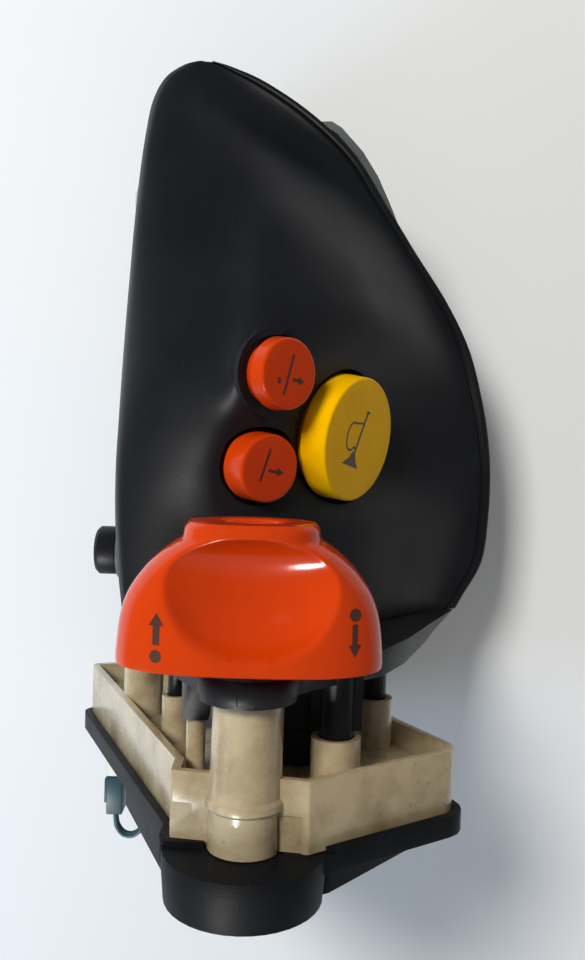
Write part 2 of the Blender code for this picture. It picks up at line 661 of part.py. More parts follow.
def base_gasket():
    """Flat rubber ring between the casing's ledge and the tray's foot."""
    bottom = LEDGE + GAP
    top = CASING_HEIGHT - GAP
    gasket = prism("base_gasket", tray_outline(-GAP), bottom, top, RUBBER)
    cut(gasket, prism("inner", tray_outline(-GAP - GASKET_WIDTH), bottom - 0.001, top + 0.001,
                      RUBBER))
    cut(gasket, rod("pad", SHAFT_PAD_RADIUS + GAP, bottom - 0.001, top + 0.001, RUBBER))
    return gasket


# ---------------------------------------------------------------- tray housing
def tray_housing():
    """Beige tray: walls, a sunk deck, the shaft's tube and the cups for the posts."""
    tray = prism("tray_housing", tray_outline(0), CASING_HEIGHT, TRAY_TOP, BEIGE)
    room = tray_outline(-WALL)
    cut(tray, prism("top_room", room, DECK_TOP, TRAY_TOP + 0.001, BEIGE))
    cut(tray, prism("under_room", room, CASING_HEIGHT - 0.001, DECK_BOTTOM, BEIGE))
    bead = CASING_HEIGHT + TUBE_BEAD_HEIGHT
    draft = (TUBE_FOOT_RADIUS - TUBE_RADIUS) / (TUBE_HEIGHT - TUBE_STRAIGHT)
    wide = TUBE_FOOT_RADIUS - draft * TUBE_BEAD_HEIGHT
    tube = turned("tube", (
        (0, CASING_HEIGHT), (TUBE_FOOT_RADIUS, CASING_HEIGHT),
        (wide, bead - TUBE_BEAD_WIDTH / 2), (wide + TUBE_BEAD, bead - TUBE_BEAD_WIDTH / 4),
        (wide + TUBE_BEAD, bead + TUBE_BEAD_WIDTH / 4), (wide, bead + TUBE_BEAD_WIDTH / 2),
        (TUBE_RADIUS, TUBE_TOP - TUBE_STRAIGHT), (TUBE_RADIUS, TUBE_TOP - CHAMFER),
        (TUBE_RADIUS - CHAMFER, TUBE_TOP), (0, TUBE_TOP)),
        BEIGE, 32)
    join(tray, tube)
    for name, x, y, outer, rim, post, screwed in CUPS:
        foot = PILLAR_TOP + GAP if screwed else DECK_BOTTOM + 0.0004
        if screwed:
            join(tray, at(rod("pillar", PILLAR_RADIUS, foot, DECK_TOP - 0.0006, BEIGE, 16), x, y))
        join(tray, at(rod("cup_" + name, outer, DECK_BOTTOM + 0.0006, CASING_HEIGHT + rim, BEIGE,
                          20), x, y))
        cut(tray, at(rod("bore", post + GAP, DECK_TOP, CASING_HEIGHT + rim + 0.001, BEIGE, 20),
                     x, y))
        if screwed:
            cut(tray, at(rod("hole", SCREW_RADIUS + GAP, foot - 0.001, DECK_TOP + 0.001, BEIGE,
                             12), x, y))
    join(tray, at(rod("peg", PEG_RADIUS, DECK_BOTTOM + 0.0006, CASING_HEIGHT + PEG_HEIGHT, BEIGE,
                      12), *PEG_PLACE))
    for x, y in board_screw_places():
        join(tray, at(rod("board_boss", 0.0030, DECK_TOP - BOARD_DROP + GAP, DECK_TOP - 0.0007,
                          BEIGE, 12), x, y))
        cut(tray, at(rod("board_hole", SCREW_RADIUS + GAP, DECK_TOP - BOARD_DROP - 0.001,
                         DECK_BOTTOM + 0.0008, BEIGE, 10), x, y))
    cut(tray, rod("shaft_bore", TUBE_BORE, CASING_HEIGHT - 0.001, TUBE_TOP + 0.001, BEIGE, 24))
    return flatten(tray)


def board_screw_places():
    """Where the main board's two screws stand."""
    reach = BOARD_SIZE[1] / 2 - 0.005
    x, y = -math.sin(BOARD_TURN) * reach, math.cos(BOARD_TURN) * reach
    return [(BOARD_PLACE[0] + side * x, BOARD_PLACE[1] + side * y) for side in (-1, 1)]


def main_board():
    """Circuit board under the deck, its screws and the block that the plug reaches."""
    top = DECK_TOP - BOARD_DROP
    bottom = top - BOARD_THICKNESS
    board = box("control_board", BOARD_PLACE, BOARD_SIZE, bottom, top, BOARD, BOARD_TURN)
    for number, (x, y) in enumerate(board_screw_places(), 1):
        cut(board, at(rod("hole", SCREW_RADIUS + GAP, bottom - 0.001, top + 0.001, BOARD, 12),
                      x, y))
        screw("board_screw_%d" % number, (x, y, bottom - GAP), UP, DECK_BOTTOM - bottom + 0.0005)
    driver = box("driver_chip", BOARD_PLACE, (0.0120, 0.0120), bottom - GAP - 0.0022,
                 bottom - GAP, RUBBER, BOARD_TURN)
    return board, driver


def screw(name, seat, direction, length):
    """A cap screw whose head ends at its seat and whose shank runs on from there."""
    profile = ((0, -SCREW_HEAD_HEIGHT), (SCREW_HEAD_RADIUS, -SCREW_HEAD_HEIGHT),
               (SCREW_HEAD_RADIUS, 0), (SCREW_RADIUS, 0), (SCREW_RADIUS, length - 0.0008),
               (SCREW_RADIUS - 0.0008, length), (0, length))
    made = turned(name, profile, STEEL, 10)
    cut(made, rod("drive", 0.0015, -SCREW_HEAD_HEIGHT - 0.001, -0.0010, STEEL, 6))
    return aimed(made, seat, direction)


# ---------------------------------------------------------------- shaft line
def shaft_line():
    """Shaft, bushes, seal, clip, return spring, magnet and sensor below it."""
    shaft = turned("knob_shaft", (
        (0, SHAFT_FOOT), (SHAFT_RADIUS, SHAFT_FOOT), (SHAFT_RADIUS, SHAFT_TOP - CHAMFER),
        (SHAFT_RADIUS - CHAMFER, SHAFT_TOP), (0, SHAFT_TOP)), STEEL)
    cut(shaft, rod("thread", KNOB_SCREW_RADIUS + GAP, SHAFT_TOP - KNOB_SCREW_LENGTH,
                   SHAFT_TOP + 0.001, STEEL, 12))
    bush = TUBE_BORE - GAP
    ring("lower_bush", SHAFT_BORE, bush, LOBE_TOP + GAP, LOBE_TOP + GAP + BUSH_LENGTH, BRONZE)
    ring("upper_bush", SHAFT_BORE, bush, TUBE_TOP - BUSH_LENGTH, TUBE_TOP, BRONZE)
    seal_bottom = TUBE_TOP + GAP
    ring("shaft_seal", SHAFT_BORE, TUBE_RADIUS, seal_bottom, seal_bottom + SEAL_HEIGHT, RUBBER)
    clip_top = LOBE_CEILING - GAP
    ring("retaining_clip", SHAFT_RADIUS + GAP, CLIP_RADIUS, clip_top - CLIP_THICKNESS, clip_top,
         STEEL)
    holder_bottom = SHAFT_FOOT - MAGNET_HEIGHT - 2 * GAP
    holder = rod("magnet_holder", HOLDER_RADIUS, holder_bottom, holder_bottom + HOLDER_HEIGHT,
                 WHITE)
    arm = box("arm", (0, -DRIVE_PIN_REACH / 2), (HOLDER_ARM_WIDTH, DRIVE_PIN_REACH),
              holder_bottom, holder_bottom + HOLDER_ARM_HEIGHT, WHITE)
    pin = at(rod("pin", DRIVE_PIN_RADIUS, holder_bottom + 0.0004, LOBE_CEILING - 0.0008, WHITE,
                 10), 0, -DRIVE_PIN_REACH)
    join(holder, arm, pin)
    cut(holder, rod("magnet_seat", MAGNET_RADIUS + GAP, holder_bottom - 0.001,
                    SHAFT_FOOT - GAP, WHITE))
    cut(holder, rod("shaft_seat", SHAFT_RADIUS + GAP, SHAFT_FOOT - GAP - 0.0001,
                    holder_bottom + HOLDER_HEIGHT + 0.001, WHITE))
    rod("magnet", MAGNET_RADIUS, holder_bottom, holder_bottom + MAGNET_HEIGHT, MAGNET)
    return_spring(holder_bottom + HOLDER_HEIGHT + 2 * GAP)
    board_bottom = CASING_FLOOR + GAP
    board_top = board_bottom + BOARD_THICKNESS
    box("sensor_board", (0, SENSOR_BOARD_SHIFT), SENSOR_BOARD_SIZE, board_bottom, board_top,
        BOARD)
    box("hall_sensor", (0, 0), SENSOR_CHIP_SIZE, board_top + GAP,
        board_top + GAP + SENSOR_CHIP_HEIGHT, RUBBER)


def return_spring(bottom):
    """Wound spring whose two legs straddle the knob's pin and the casing's post."""
    start = -math.pi / 2 + SPRING_LEG_SPREAD
    sweep = math.tau * SPRING_TURNS - 2 * SPRING_LEG_SPREAD
    rise = LOBE_CEILING - 2 * GAP - 2 * SPRING_WIRE - bottom
    count = 18 * SPRING_TURNS
    points = []
    for i in range(count + 1):
        angle = start + sweep * i / count
        points.append((SPRING_RADIUS * math.cos(angle), SPRING_RADIUS * math.sin(angle),
                       bottom + SPRING_WIRE + rise * i / count))
    ends = []
    for angle, point in ((start, points[0]), (start + sweep, points[-1])):
        reach = SPRING_RADIUS + SPRING_LEG_LENGTH
        ends.append((reach * math.cos(angle), reach * math.sin(angle), point[2]))
    return tube_along("return_spring", [ends[0]] + points + [ends[1]], SPRING_WIRE, STEEL, 1)


# ---------------------------------------------------------------- rocker knob
def butterfly_knob():
    """Two-winged knob: lens-shaped in plan, drawn in towards its cap, dished in front."""
    levels = ((0.0, 0.985, 0.985), (0.0015, 1.0, 1.0), (0.0110, 0.985, 0.975),
              (0.0175, 0.930, 0.950), (0.0230, 0.820, 0.920), (0.0270, 0.690, 0.890),
              (0.0300, 0.560, 0.850), (0.0325, 0.475, 0.815), (KNOB_HEIGHT, 0.430, 0.760))
    steps = 36
    rings = []
    for height, wide, deep in levels:
        rings.append([(KNOB_HALF_WIDTH * wide * math.cos(math.tau * i / steps),
                       KNOB_HALF_DEPTH * deep * math.sin(math.tau * i / steps),
                       KNOB_BOTTOM + height) for i in range(steps)])
    knob = loft("butterfly_knob", rings, RED)
    bm = bmesh.new()
    bmesh.ops.create_uvsphere(bm, u_segments=32, v_segments=20, radius=1.0)
    bmesh.ops.scale(bm, vec=(DISH_WIDTH, DISH_DEPTH, DISH_HEIGHT), verts=bm.verts)
    cut(knob, at(finish("dish", bm, RED), 0, -DISH_OUT, KNOB_BOTTOM + DISH_UP))
    cut(knob, rod("recess", KNOB_RECESS_RADIUS, KNOB_RECESS_FLOOR, KNOB_TOP + 0.001, RED))
    cut(knob, rod("screw_hole", KNOB_SCREW_RADIUS + GAP, SHAFT_TOP, KNOB_TOP, RED, 12))
    cut(knob, rod("shaft_hole", SHAFT_RADIUS + GAP, KNOB_BOTTOM - 0.001, SHAFT_TOP + GAP, RED))
    seat = KNOB_RECESS_FLOOR + GAP
    top = seat + KNOB_HEAD_HEIGHT
    head = ((0, top), (KNOB_HEAD_RADIUS - 2 * CHAMFER, top), (KNOB_HEAD_RADIUS, top - CHAMFER),
            (KNOB_HEAD_RADIUS, seat), (KNOB_SCREW_RADIUS, seat),
            (KNOB_SCREW_RADIUS, seat - KNOB_SCREW_LENGTH), (0, seat - KNOB_SCREW_LENGTH))
    bolt = turned("knob_screw", head, STEEL, 20)
    cut(bolt, rod("drive", 0.0016, seat + 0.0009, top + 0.001, STEEL, 6))
    rod("knob_cap", KNOB_RECESS_RADIUS - GAP, top + GAP, top + GAP + KNOB_CAP_THICKNESS, RED, 32)
    return flatten(knob)


# ---------------------------------------------------------------- hand shell group
def shell_floor():
    """The hand shell's floor: nose about the tube, skirt, posts into the cups."""
    floor = loft("shell_floor", [[(x, y, z) for x, y in floor_outline(0, drawn_in)]
                                 for z, drawn_in in ((SLAB_BOTTOM, 1), (SLAB_TOP, 0))], BLACK)
    cut(floor, prism("floor_room", floor_outline(-WALL, 1), SLAB_BOTTOM - 0.001, SLAB_CEILING,
                     BLACK))
    nose = turned("nose", ((0, SLAB_BOTTOM - NOSE_DROP), (NOSE_FOOT_RADIUS,
                   SLAB_BOTTOM - NOSE_DROP), (NOSE_RADIUS - 0.0001, SLAB_BOTTOM + 0.0012),
                  (NOSE_RADIUS - 0.0001, SLAB_TOP - 0.0005), (0, SLAB_TOP - 0.0005)), BLACK, 32)
    join(floor, nose)
    for _, x, y, _, _, radius, _ in CUPS:
        join(floor, at(rod("post", radius, DECK_TOP + GAP, SLAB_TOP - 0.0008, BLACK, 16), x, y))
    join(floor, box("foot_block", PEG_PLACE, FOOT_BLOCK, CASING_HEIGHT + PEG_HEIGHT + GAP,
                    SLAB_TOP - 0.0008, BLACK))
    front_x, front_y = CUPS[0][1:3]
    join(floor, box("rib", (front_x, front_y), POST_RIB, CASING_HEIGHT + CUPS[0][4] + 0.0015,
                    SLAB_TOP - 0.0009, BLACK))
    for _, x, y, _, _, _, screwed in CUPS:
        if screwed:
            cut(floor, at(rod("thread", SCREW_RADIUS + GAP, DECK_TOP,
                              DECK_TOP + SCREW_ENGAGEMENT + 0.001, BLACK, 10), x, y))
    cut(floor, rod("nose_bore", TUBE_RADIUS + GAP, SLAB_BOTTOM - 0.003, SLAB_TOP + 0.001, BLACK,
                   32))
    cut(floor, at(rod("lead_way", LEAD_WAY_RADIUS, SLAB_CEILING - 0.001, SLAB_TOP + 0.001, BLACK,
                      12), *UNIT_LEAD_RISE))
    for number, (x, y) in enumerate(FLOOR_SCREWS, 1):
        cut(floor, at(rod("hole", SCREW_RADIUS + GAP, SLAB_CEILING - 0.001, SLAB_TOP + 0.001,
                          BLACK, 12), x, y))
        screw("floor_screw_%d" % number, (x, y, SLAB_CEILING - GAP), UP,
              SLAB_ROOF + FLOOR_BOSS_HEIGHT - 0.0020)
    return flatten(floor)


def hand_shell(grid, inner):
    """Face standing on its floor, button sleeves and screw bosses."""
    shell = shell_face(grid, inner)
    foot = SLAB_TOP + GAP
    cut(shell, box("below", (0, COVER_BACK / 2), (0.3, 0.3), SLAB_BOTTOM - 0.005, foot, BLACK))
    for x, y in FLOOR_SCREWS:
        join(shell, at(rod("floor_boss", BOSS_RADIUS, foot, foot + FLOOR_BOSS_HEIGHT, BLACK, 12),
                       x, y))
        cut(shell, at(rod("thread", SCREW_RADIUS + GAP, foot - 0.001,
                          foot + FLOOR_BOSS_HEIGHT - 0.0015, BLACK, 10), x, y))
    for _, centre, normal, radius, height, travel in BUTTONS:
        face, axis = button_frame(centre, normal)
        wide, deep, _ = bucket_depths(height, travel)
        outer = radius + BUTTON_CLEARANCE + BUCKET_WALL
        guide = radius * SKIRT_SHARE + BUTTON_CLEARANCE + BUCKET_WALL
        profile = ((0, -deep - BUCKET_FLOOR), (guide, -deep - BUCKET_FLOOR),
                   (guide, -wide - BUCKET_WALL), (outer, -wide - BUCKET_WALL),
                   (outer, -height - BUCKET_LIP), (0, -height - BUCKET_LIP))
        join(shell, aimed(turned("bucket", profile, BLACK, 20), face, axis))
    for _, centre, normal, radius, height, travel in BUTTONS:
        face, axis = button_frame(centre, normal)
        wide, deep, _ = bucket_depths(height, travel)
        bore = radius + BUTTON_CLEARANCE
        guide = radius * SKIRT_SHARE + BUTTON_CLEARANCE
        stem = STEM_RADIUS + GAP
        profile = ((0, -deep - BUCKET_FLOOR - 0.001), (stem, -deep - BUCKET_FLOOR - 0.001),
                   (stem, -deep), (guide, -deep), (guide, -wide), (bore, -wide), (bore, 0.030),
                   (0, 0.030))
        cut(shell, aimed(turned("bore", profile, BLACK, 20), face, axis))
    for x, rise in COVER_SCREWS:
        z = SLAB_BOTTOM + rise
        start = boss_start(grid, x, z)
        end = COVER_BACK - COVER_WALL - GAP
        boss = aimed(rod("boss", BOSS_RADIUS, 0, end - start, BLACK, 12), (x, start, z),
                     (0, 1, 0))
        join(shell, boss)
        cut(shell, aimed(rod("thread", SCREW_RADIUS + GAP, -SCREW_ENGAGEMENT, 0.001, BLACK, 10),
                         (x, end, z), (0, 1, 0)))
    return flatten(shell)


def bucket_depths(height, travel):
    """Depths behind the button's face: wide bore, guide bore, and the floor's back."""
    wide = height + travel + GAP
    deep = height + SKIRT_LENGTH + travel + GAP
    return wide, deep, deep + BUCKET_FLOOR


def push_buttons():
    """Three caps, each with a guided skirt and a barbed stem, and a switch behind it."""
    colours = {"lift": RED, "lower": RED, "horn": YELLOW}
    for name, centre, normal, radius, height, travel in BUTTONS:
        face, axis = button_frame(centre, normal)
        _, _, back = bucket_depths(height, travel)
        skirt = radius * SKIRT_SHARE
        foot = height + SKIRT_LENGTH
        barb = back + GAP
        tip = barb + BARB_LENGTH
        dish = 0.0002 if name == "horn" else BUTTON_DISH
        cap = turned(name + "_button", (
            (0, -dish), (radius * 0.6, -dish * 0.55), (radius - 0.0012, 0),
            (radius - 0.0004, -0.0003), (radius, -0.0011), (radius, -height), (skirt, -height),
            (skirt, -foot), (STEM_RADIUS, -foot), (STEM_RADIUS, -barb), (BARB_RADIUS, -barb),
            (STEM_RADIUS - 0.0006, -tip), (0, -tip)), colours[name], 24)
        aimed(cap, face, axis)
        front = -back - GAP
        body = box(name + "_switch", (0, 0), SWITCH_SIZE[:2], front - SWITCH_SIZE[2], front,
                   RUBBER)
        cut(body, rod("way", BARB_RADIUS + GAP, -tip - travel - GAP, front + 0.001, RUBBER, 16))
        aimed(body, face, axis)


def unit_plug():
    """Plug between the hand unit and the deck, its lower half and its lead."""
    x, y = UNIT_PLUG_PLACE
    top = SLAB_CEILING - GAP
    box("unit_plug", (x, y), UNIT_PLUG_SIZE, UNIT_PLUG_BOTTOM, top, BLACK)
    box("deck_socket", (x, y), UNIT_PLUG_SIZE, DECK_TOP + GAP, UNIT_PLUG_BOTTOM - GAP, BLACK)
    back = y + UNIT_PLUG_SIZE[1] / 2 + GAP
    level = SLAB_CEILING - 0.0022
    end_x, end_y = UNIT_LEAD_RISE
    net = [Vector(p) for p in ((x, back, level), (x, back + 0.008, level),
                               (x - 0.001, end_y - 0.014, level),
                               (end_x, end_y - 0.004, level + 0.0004),
                               (end_x, end_y, level + 0.0060),
                               (end_x, end_y, SLAB_TOP + 0.0155),
                               (end_x - 0.004, end_y + 0.006, SLAB_TOP + 0.0305),
                               (end_x - 0.006, end_y + 0.010, SLAB_TOP + 0.0405))]
    points = [along(net, i / 4) for i in range(4 * (len(net) - 1) + 1)]
    tube_along("unit_lead", points, UNIT_LEAD_RADIUS, RUBBER, 1)


# ---------------------------------------------------------------- rear cover group
def rear_cover(inner):
    """Deep rear shell from the face's rim to a flat, round-cornered back."""
    rim = cover_rim(inner)
    middle_x = (COVER_LEFT + COVER_RIGHT) / 2
    middle_z = (COVER_TOP + SLAB_TOP + GAP) / 2
    bm = bmesh.new()
    loops = []
    for share, edge in ((0.0, 0.0), (0.35, 0.0), (0.70, 0.0), (1.0, 0.0), (1.0, 0.3), (1.0, 1.0)):
        loop = []
        for x, y, z in rim:
            end_x, end_z = back_point(x, z, middle_x, middle_z, edge * COVER_EDGE)
            depth = COVER_BACK - COVER_WALL - COVER_EDGE * (1.0 - edge ** 0.5)
            loop.append(bm.verts.new((x + (end_x - x) * share, y + (depth - y) * share,
                                      z + (end_z - z) * share)))
        loops.append(loop)
    count = len(rim)
    for first, second in zip(loops, loops[1:]):
        for i in range(count):
            j = (i + 1) % count
            bm.faces.new((first[i], first[j], second[j], second[i]))
    bm.faces.new(loops[-1])
    cover = finish("rear_cover", bm, GREY)
    thicken(cover, COVER_WALL)
    seat = SPIGOT_SEAT + GAP
    join(cover, aimed(rod("spigot_boss", SPIGOT_RADIUS + 0.0010, -0.0055, 0, GREY, 20),
                      (seat, SPIGOT_Y, SPIGOT_Z), (-1, 0, 0)))
    cut(cover, aimed(rod("spigot_hole", SPIGOT_SHANK + GAP, -0.0200, 0.001, GREY, 16),
                     (seat, SPIGOT_Y, SPIGOT_Z), (-1, 0, 0)))
    for x, rise in COVER_SCREWS:
        cut(cover, aimed(rod("hole", SCREW_RADIUS + GAP, -0.010, 0.010, GREY, 12),
                         (x, COVER_BACK, SLAB_BOTTOM + rise), (0, 1, 0)))
    return flatten(cover)


def thicken(thing, wall):
    """Gives an open surface a wall on its outer side."""
    step = thing.modifiers.new("wall", "SOLIDIFY")
    step.thickness = wall
    step.offset = 1.0
    step.use_even_offset = True
    bpy.context.view_layer.update()
    graph = bpy.context.evaluated_depsgraph_get()
    mesh = bpy.data.meshes.new_from_object(thing.evaluated_get(graph))
    bm = bmesh.new()
    bm.from_mesh(mesh)
    bmesh.ops.triangulate(bm, faces=bm.faces)
    bm.to_mesh(mesh)
    bm.free()
    thing.modifiers.clear()
    thing.data = mesh


def crossing(column, height):
    """The point where a rising line of points passes a height."""
    for below, above in zip(column, column[1:]):
        if below.z <= height <= above.z:
            return below.lerp(above, (height - below.z) / (above.z - below.z))
    return column[-1]


def cover_rim(inner):
    """The line that the rear cover starts from, just behind the face's rim."""
    lowest = SLAB_TOP + GAP + COVER_WALL
    highest = COVER_TOP - COVER_WALL
    right = []
    for row in inner:
        share = (row[-1].z - SLAB_BOTTOM - COVER_INSET_END) / (COVER_OUTER_START - COVER_INSET_END)
        right.append(row[-2].lerp(row[-1], min(max(share, 0.0), 1.0)))
    sides = [[p for p in line if lowest + COVER_RIM_STEP < p.z < highest - COVER_RIM_STEP]
             for line in ([row[0] for row in inner], right)]
    back = Vector((0.0, COVER_TOP_GAP, 0.0))
    top = [crossing(column, highest) + back for column in zip(*inner)]
    points = [(p.x, p.y + COVER_RIM_GAP, p.z) for p in sides[0] + top + sides[1][::-1]]
    first, last = points[0], points[-1]
    points.insert(0, (first[0], first[1], lowest))
    points.append((last[0], last[1], lowest))
    for k in range(1, COVER_FOOT_STEPS):
        share = k / COVER_FOOT_STEPS
        points.append((last[0] + (first[0] - last[0]) * share,
                       last[1] + (first[1] - last[1]) * share, lowest))
    return points


def back_point(x, z, middle_x, middle_z, inset):
    """Where a line from the middle through a rim point meets the rear outline."""
    half_x = (COVER_RIGHT - COVER_LEFT) / 2 - COVER_WALL - inset
    half_z = COVER_TOP - middle_z - COVER_WALL - inset
    corner = COVER_CORNER - COVER_WALL - inset
    direction = Vector((x - middle_x, z - middle_z)).normalized()
    reach = min(half_x / max(abs(direction.x), 1e-6), half_z / max(abs(direction.y), 1e-6))
    point = direction * reach
    core_x, core_z = half_x - corner, half_z - corner
    if abs(point.x) > core_x and point.y > core_z:
        centre = Vector((math.copysign(core_x, point.x), core_z))
        point = centre + (point - centre).normalized() * corner
    return middle_x + point.x, middle_z + point.y


def side_spigot():
    """Round locating stub on the cover's left side, held by a nut inside."""
    stub = turned("side_spigot", (
        (0, -0.0100), (SPIGOT_SHANK, -0.0100), (SPIGOT_SHANK, 0), (SPIGOT_RADIUS, 0),
        (SPIGOT_RADIUS, SPIGOT_LENGTH - 0.0012), (SPIGOT_RADIUS - 0.0012, SPIGOT_LENGTH),
        (0, SPIGOT_LENGTH)), BLACK, 24)
    aimed(stub, (SPIGOT_SEAT, SPIGOT_Y, SPIGOT_Z), (-1, 0, 0))
    nut = rod("spigot_nut", SPIGOT_RADIUS + 0.0008, -0.0095, -0.0061, STEEL, 6)
    cut(nut, rod("hole", SPIGOT_SHANK + GAP, -0.0110, -0.0050, STEEL, 24))
    aimed(nut, (SPIGOT_SEAT, SPIGOT_Y, SPIGOT_Z), (-1, 0, 0))


# ---------------------------------------------------------------- fasteners and lead
def casing_screws():
    """Long screws from below, through casing and tray into the shell's posts."""
    for name, x, y, _, _, _, screwed in CUPS:
        if screwed:
            foot = 0.0 if inside_tub(x, y) else FLANGE_BOTTOM
            seat = foot + SCREW_HEAD_HEIGHT + 0.0003
            screw("casing_screw_" + name, (x, y, seat), UP,
                  DECK_TOP + SCREW_ENGAGEMENT - seat)


def cover_screws():
    """Short screws through the rear cover into the shell's bosses."""
    for number, (x, rise) in enumerate(COVER_SCREWS, 1):
        screw("cover_screw_%d" % number, (x, COVER_BACK + GAP, SLAB_BOTTOM + rise), (0, -1, 0),
              COVER_WALL + SCREW_ENGAGEMENT - 0.001)


def lead():
    """White socket under the flange, the plug in it and two wires back to a grommet."""
    x, y = SOCKET_PLACE
    floor = FLANGE_BOTTOM + POCKET_FLOOR
    bottom = floor - SOCKET_DROP
    socket = box("lead_socket", (x, y), SOCKET_SIZE, bottom, LEDGE, WHITE)
    join(socket, box("head", (x + SOCKET_SIZE[0] / 2 + 0.0004, y),
                     (0.0029, SOCKET_SIZE[1] + 0.0030), floor + GAP,
                     floor + SOCKET_HEAD - 0.0001, WHITE))
    plug_top = bottom - GAP
    plug = box("lead_connector", (x, y), (SOCKET_SIZE[0] - 0.0008, SOCKET_SIZE[1]),
               plug_top - PLUG_HEIGHT, plug_top, TEAL)
    join(plug, box("latch", (x - SOCKET_SIZE[0] / 2 + 0.0002, y), (0.0022, 0.0034),
                   plug_top - PLUG_HEIGHT + 0.0030, plug_top - 0.0015, TEAL))
    gx, gy = GROMMET_PLACE
    hole = GROMMET_RADIUS - 0.0012
    bottom_rim = FLANGE_BOTTOM - GAP
    grommet = turned("cable_grommet", (
        (0, bottom_rim - 0.0020), (hole + 0.0004, bottom_rim - 0.0020),
        (GROMMET_RADIUS, bottom_rim), (hole, bottom_rim),
        (hole, FLANGE_BOTTOM + POCKET_FLOOR + 0.0010),
        (0, FLANGE_BOTTOM + POCKET_FLOOR + 0.0010)), RUBBER, 16)
    at(grommet, gx, gy)
    start = bottom_rim - 0.0020 - GAP
    end = plug_top - PLUG_HEIGHT - GAP
    for number, side in enumerate((-1, 1), 1):
        shift = side * LEAD_SPACING / 2
        net = [Vector((px, py + shift, pz)) for px, py, pz in (
            (gx, gy, start), (gx, gy, start - 0.005),
            (gx - 0.0002, gy + 0.0002, start - 0.0110),
            (gx - 0.0012, gy + 0.0010, start - 0.0190),
            (gx - 0.0035, gy + 0.0020, start - 0.0255),
            (gx - 0.0070, gy + 0.0030, start - 0.0290),
            (gx - 0.0105, gy + 0.0036, start - 0.0290),
            (x + 0.0006, y, start - 0.0265), (x, y, end - 0.0018), (x, y, end))]
        points = [along(net, i / 2) for i in range(2 * (len(net) - 1) + 1)]
        tube_along("lead_wire_%d" % number, points, LEAD_DIAMETER / 2, TEAL, 2)


# ---------------------------------------------------------------- assembly
def place_under(empty_name, location, names):
    """Hangs moving pieces on an empty that marks their joint's axis."""
    empty = bpy.data.objects.new(empty_name, None)
    empty.location = location
    bpy.context.scene.collection.objects.link(empty)
    bpy.context.view_layer.update()
    for name in names:
        piece = bpy.data.objects[name]
        piece.parent = empty
        piece.matrix_parent_inverse = empty.matrix_world.inverted()


def build():
    """Makes every piece of the control head."""
    for leftover in list(bpy.data.objects):
        bpy.data.objects.remove(leftover)
    grid = face_grid(FACE_STEPS)
    normals = grid_normals(grid)
    inner = [[p - n * SHELL_WALL for p, n in zip(row, line)] for row, line in zip(grid, normals)]
    lower_casing()
    base_gasket()
    tray_housing()
    main_board()
    shaft_line()
    butterfly_knob()
    shell_floor()
    hand_shell(grid, inner)
    push_buttons()
    unit_plug()
    rear_cover(inner)
    side_spigot()
    casing_screws()
    cover_screws()
    lead()
    place_under("knob_axis", (0, 0, KNOB_BOTTOM),
                ("butterfly_knob", "knob_screw", "knob_cap", "knob_shaft", "retaining_clip",
                 "magnet_holder", "magnet"))
    for name, centre, normal, _, _, _ in BUTTONS:
        place_under(name + "_axis", button_frame(centre, normal)[0], (name + "_button",))


build()
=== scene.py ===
"""Dresses the one-hand control head: fine surfaces, finishes, light and camera.

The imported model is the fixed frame. Metres, +Z up along the rocker's shaft, and the user
stands at -Y. Every finished piece's object sits at the origin, with its place in its mesh.
"""

from __future__ import annotations

import json
import logging
import math
from collections.abc import Sequence
from dataclasses import dataclass, field
from enum import Enum

import bpy
from mathutils import Matrix, Vector

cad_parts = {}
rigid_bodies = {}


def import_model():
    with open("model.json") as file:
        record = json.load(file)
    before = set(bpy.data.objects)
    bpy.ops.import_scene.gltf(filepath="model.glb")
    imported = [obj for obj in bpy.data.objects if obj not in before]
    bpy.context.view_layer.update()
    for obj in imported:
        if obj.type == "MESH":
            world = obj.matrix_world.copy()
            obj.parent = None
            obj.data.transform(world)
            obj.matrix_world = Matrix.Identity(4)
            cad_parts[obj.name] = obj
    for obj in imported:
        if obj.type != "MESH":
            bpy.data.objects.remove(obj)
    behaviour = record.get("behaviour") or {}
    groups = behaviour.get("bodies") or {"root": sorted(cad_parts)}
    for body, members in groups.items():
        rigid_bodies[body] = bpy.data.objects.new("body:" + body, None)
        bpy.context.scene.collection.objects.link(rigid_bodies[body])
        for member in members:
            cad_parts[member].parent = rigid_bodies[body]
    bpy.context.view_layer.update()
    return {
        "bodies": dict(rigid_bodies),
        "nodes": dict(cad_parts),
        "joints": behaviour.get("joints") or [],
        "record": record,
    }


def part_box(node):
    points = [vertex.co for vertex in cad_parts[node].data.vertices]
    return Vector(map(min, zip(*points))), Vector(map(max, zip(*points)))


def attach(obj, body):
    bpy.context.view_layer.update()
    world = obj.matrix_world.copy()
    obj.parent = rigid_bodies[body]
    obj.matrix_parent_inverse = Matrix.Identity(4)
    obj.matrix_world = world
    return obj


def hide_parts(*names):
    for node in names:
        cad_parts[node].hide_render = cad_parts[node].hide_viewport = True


log = logging.getLogger("control_head")

Pair = tuple[float, float]
Point = tuple[float, float, float]
Colour = tuple[float, float, float]
Piece = bpy.types.Object
Grid = Sequence[Sequence[Vector]]

MM = 0.001
GAP = 0.0003                # left between pieces that touch
FLOOR_FOOT = 0.0497         # underside of the hand shell's floor
SKIRT_SHARE = 0.86          # guided skirt's radius against its button's
SKIRT_LENGTH = 0.0040
STEM_RADIUS = 0.0024
WELL_FLOOR = 0.0015
STAIN_BAND = (0.42, 0.68)   # noise between which a stain comes in
SPECK_BAND = (0.64, 0.72)
UP = Vector((0.0, 0.0, 1.0))


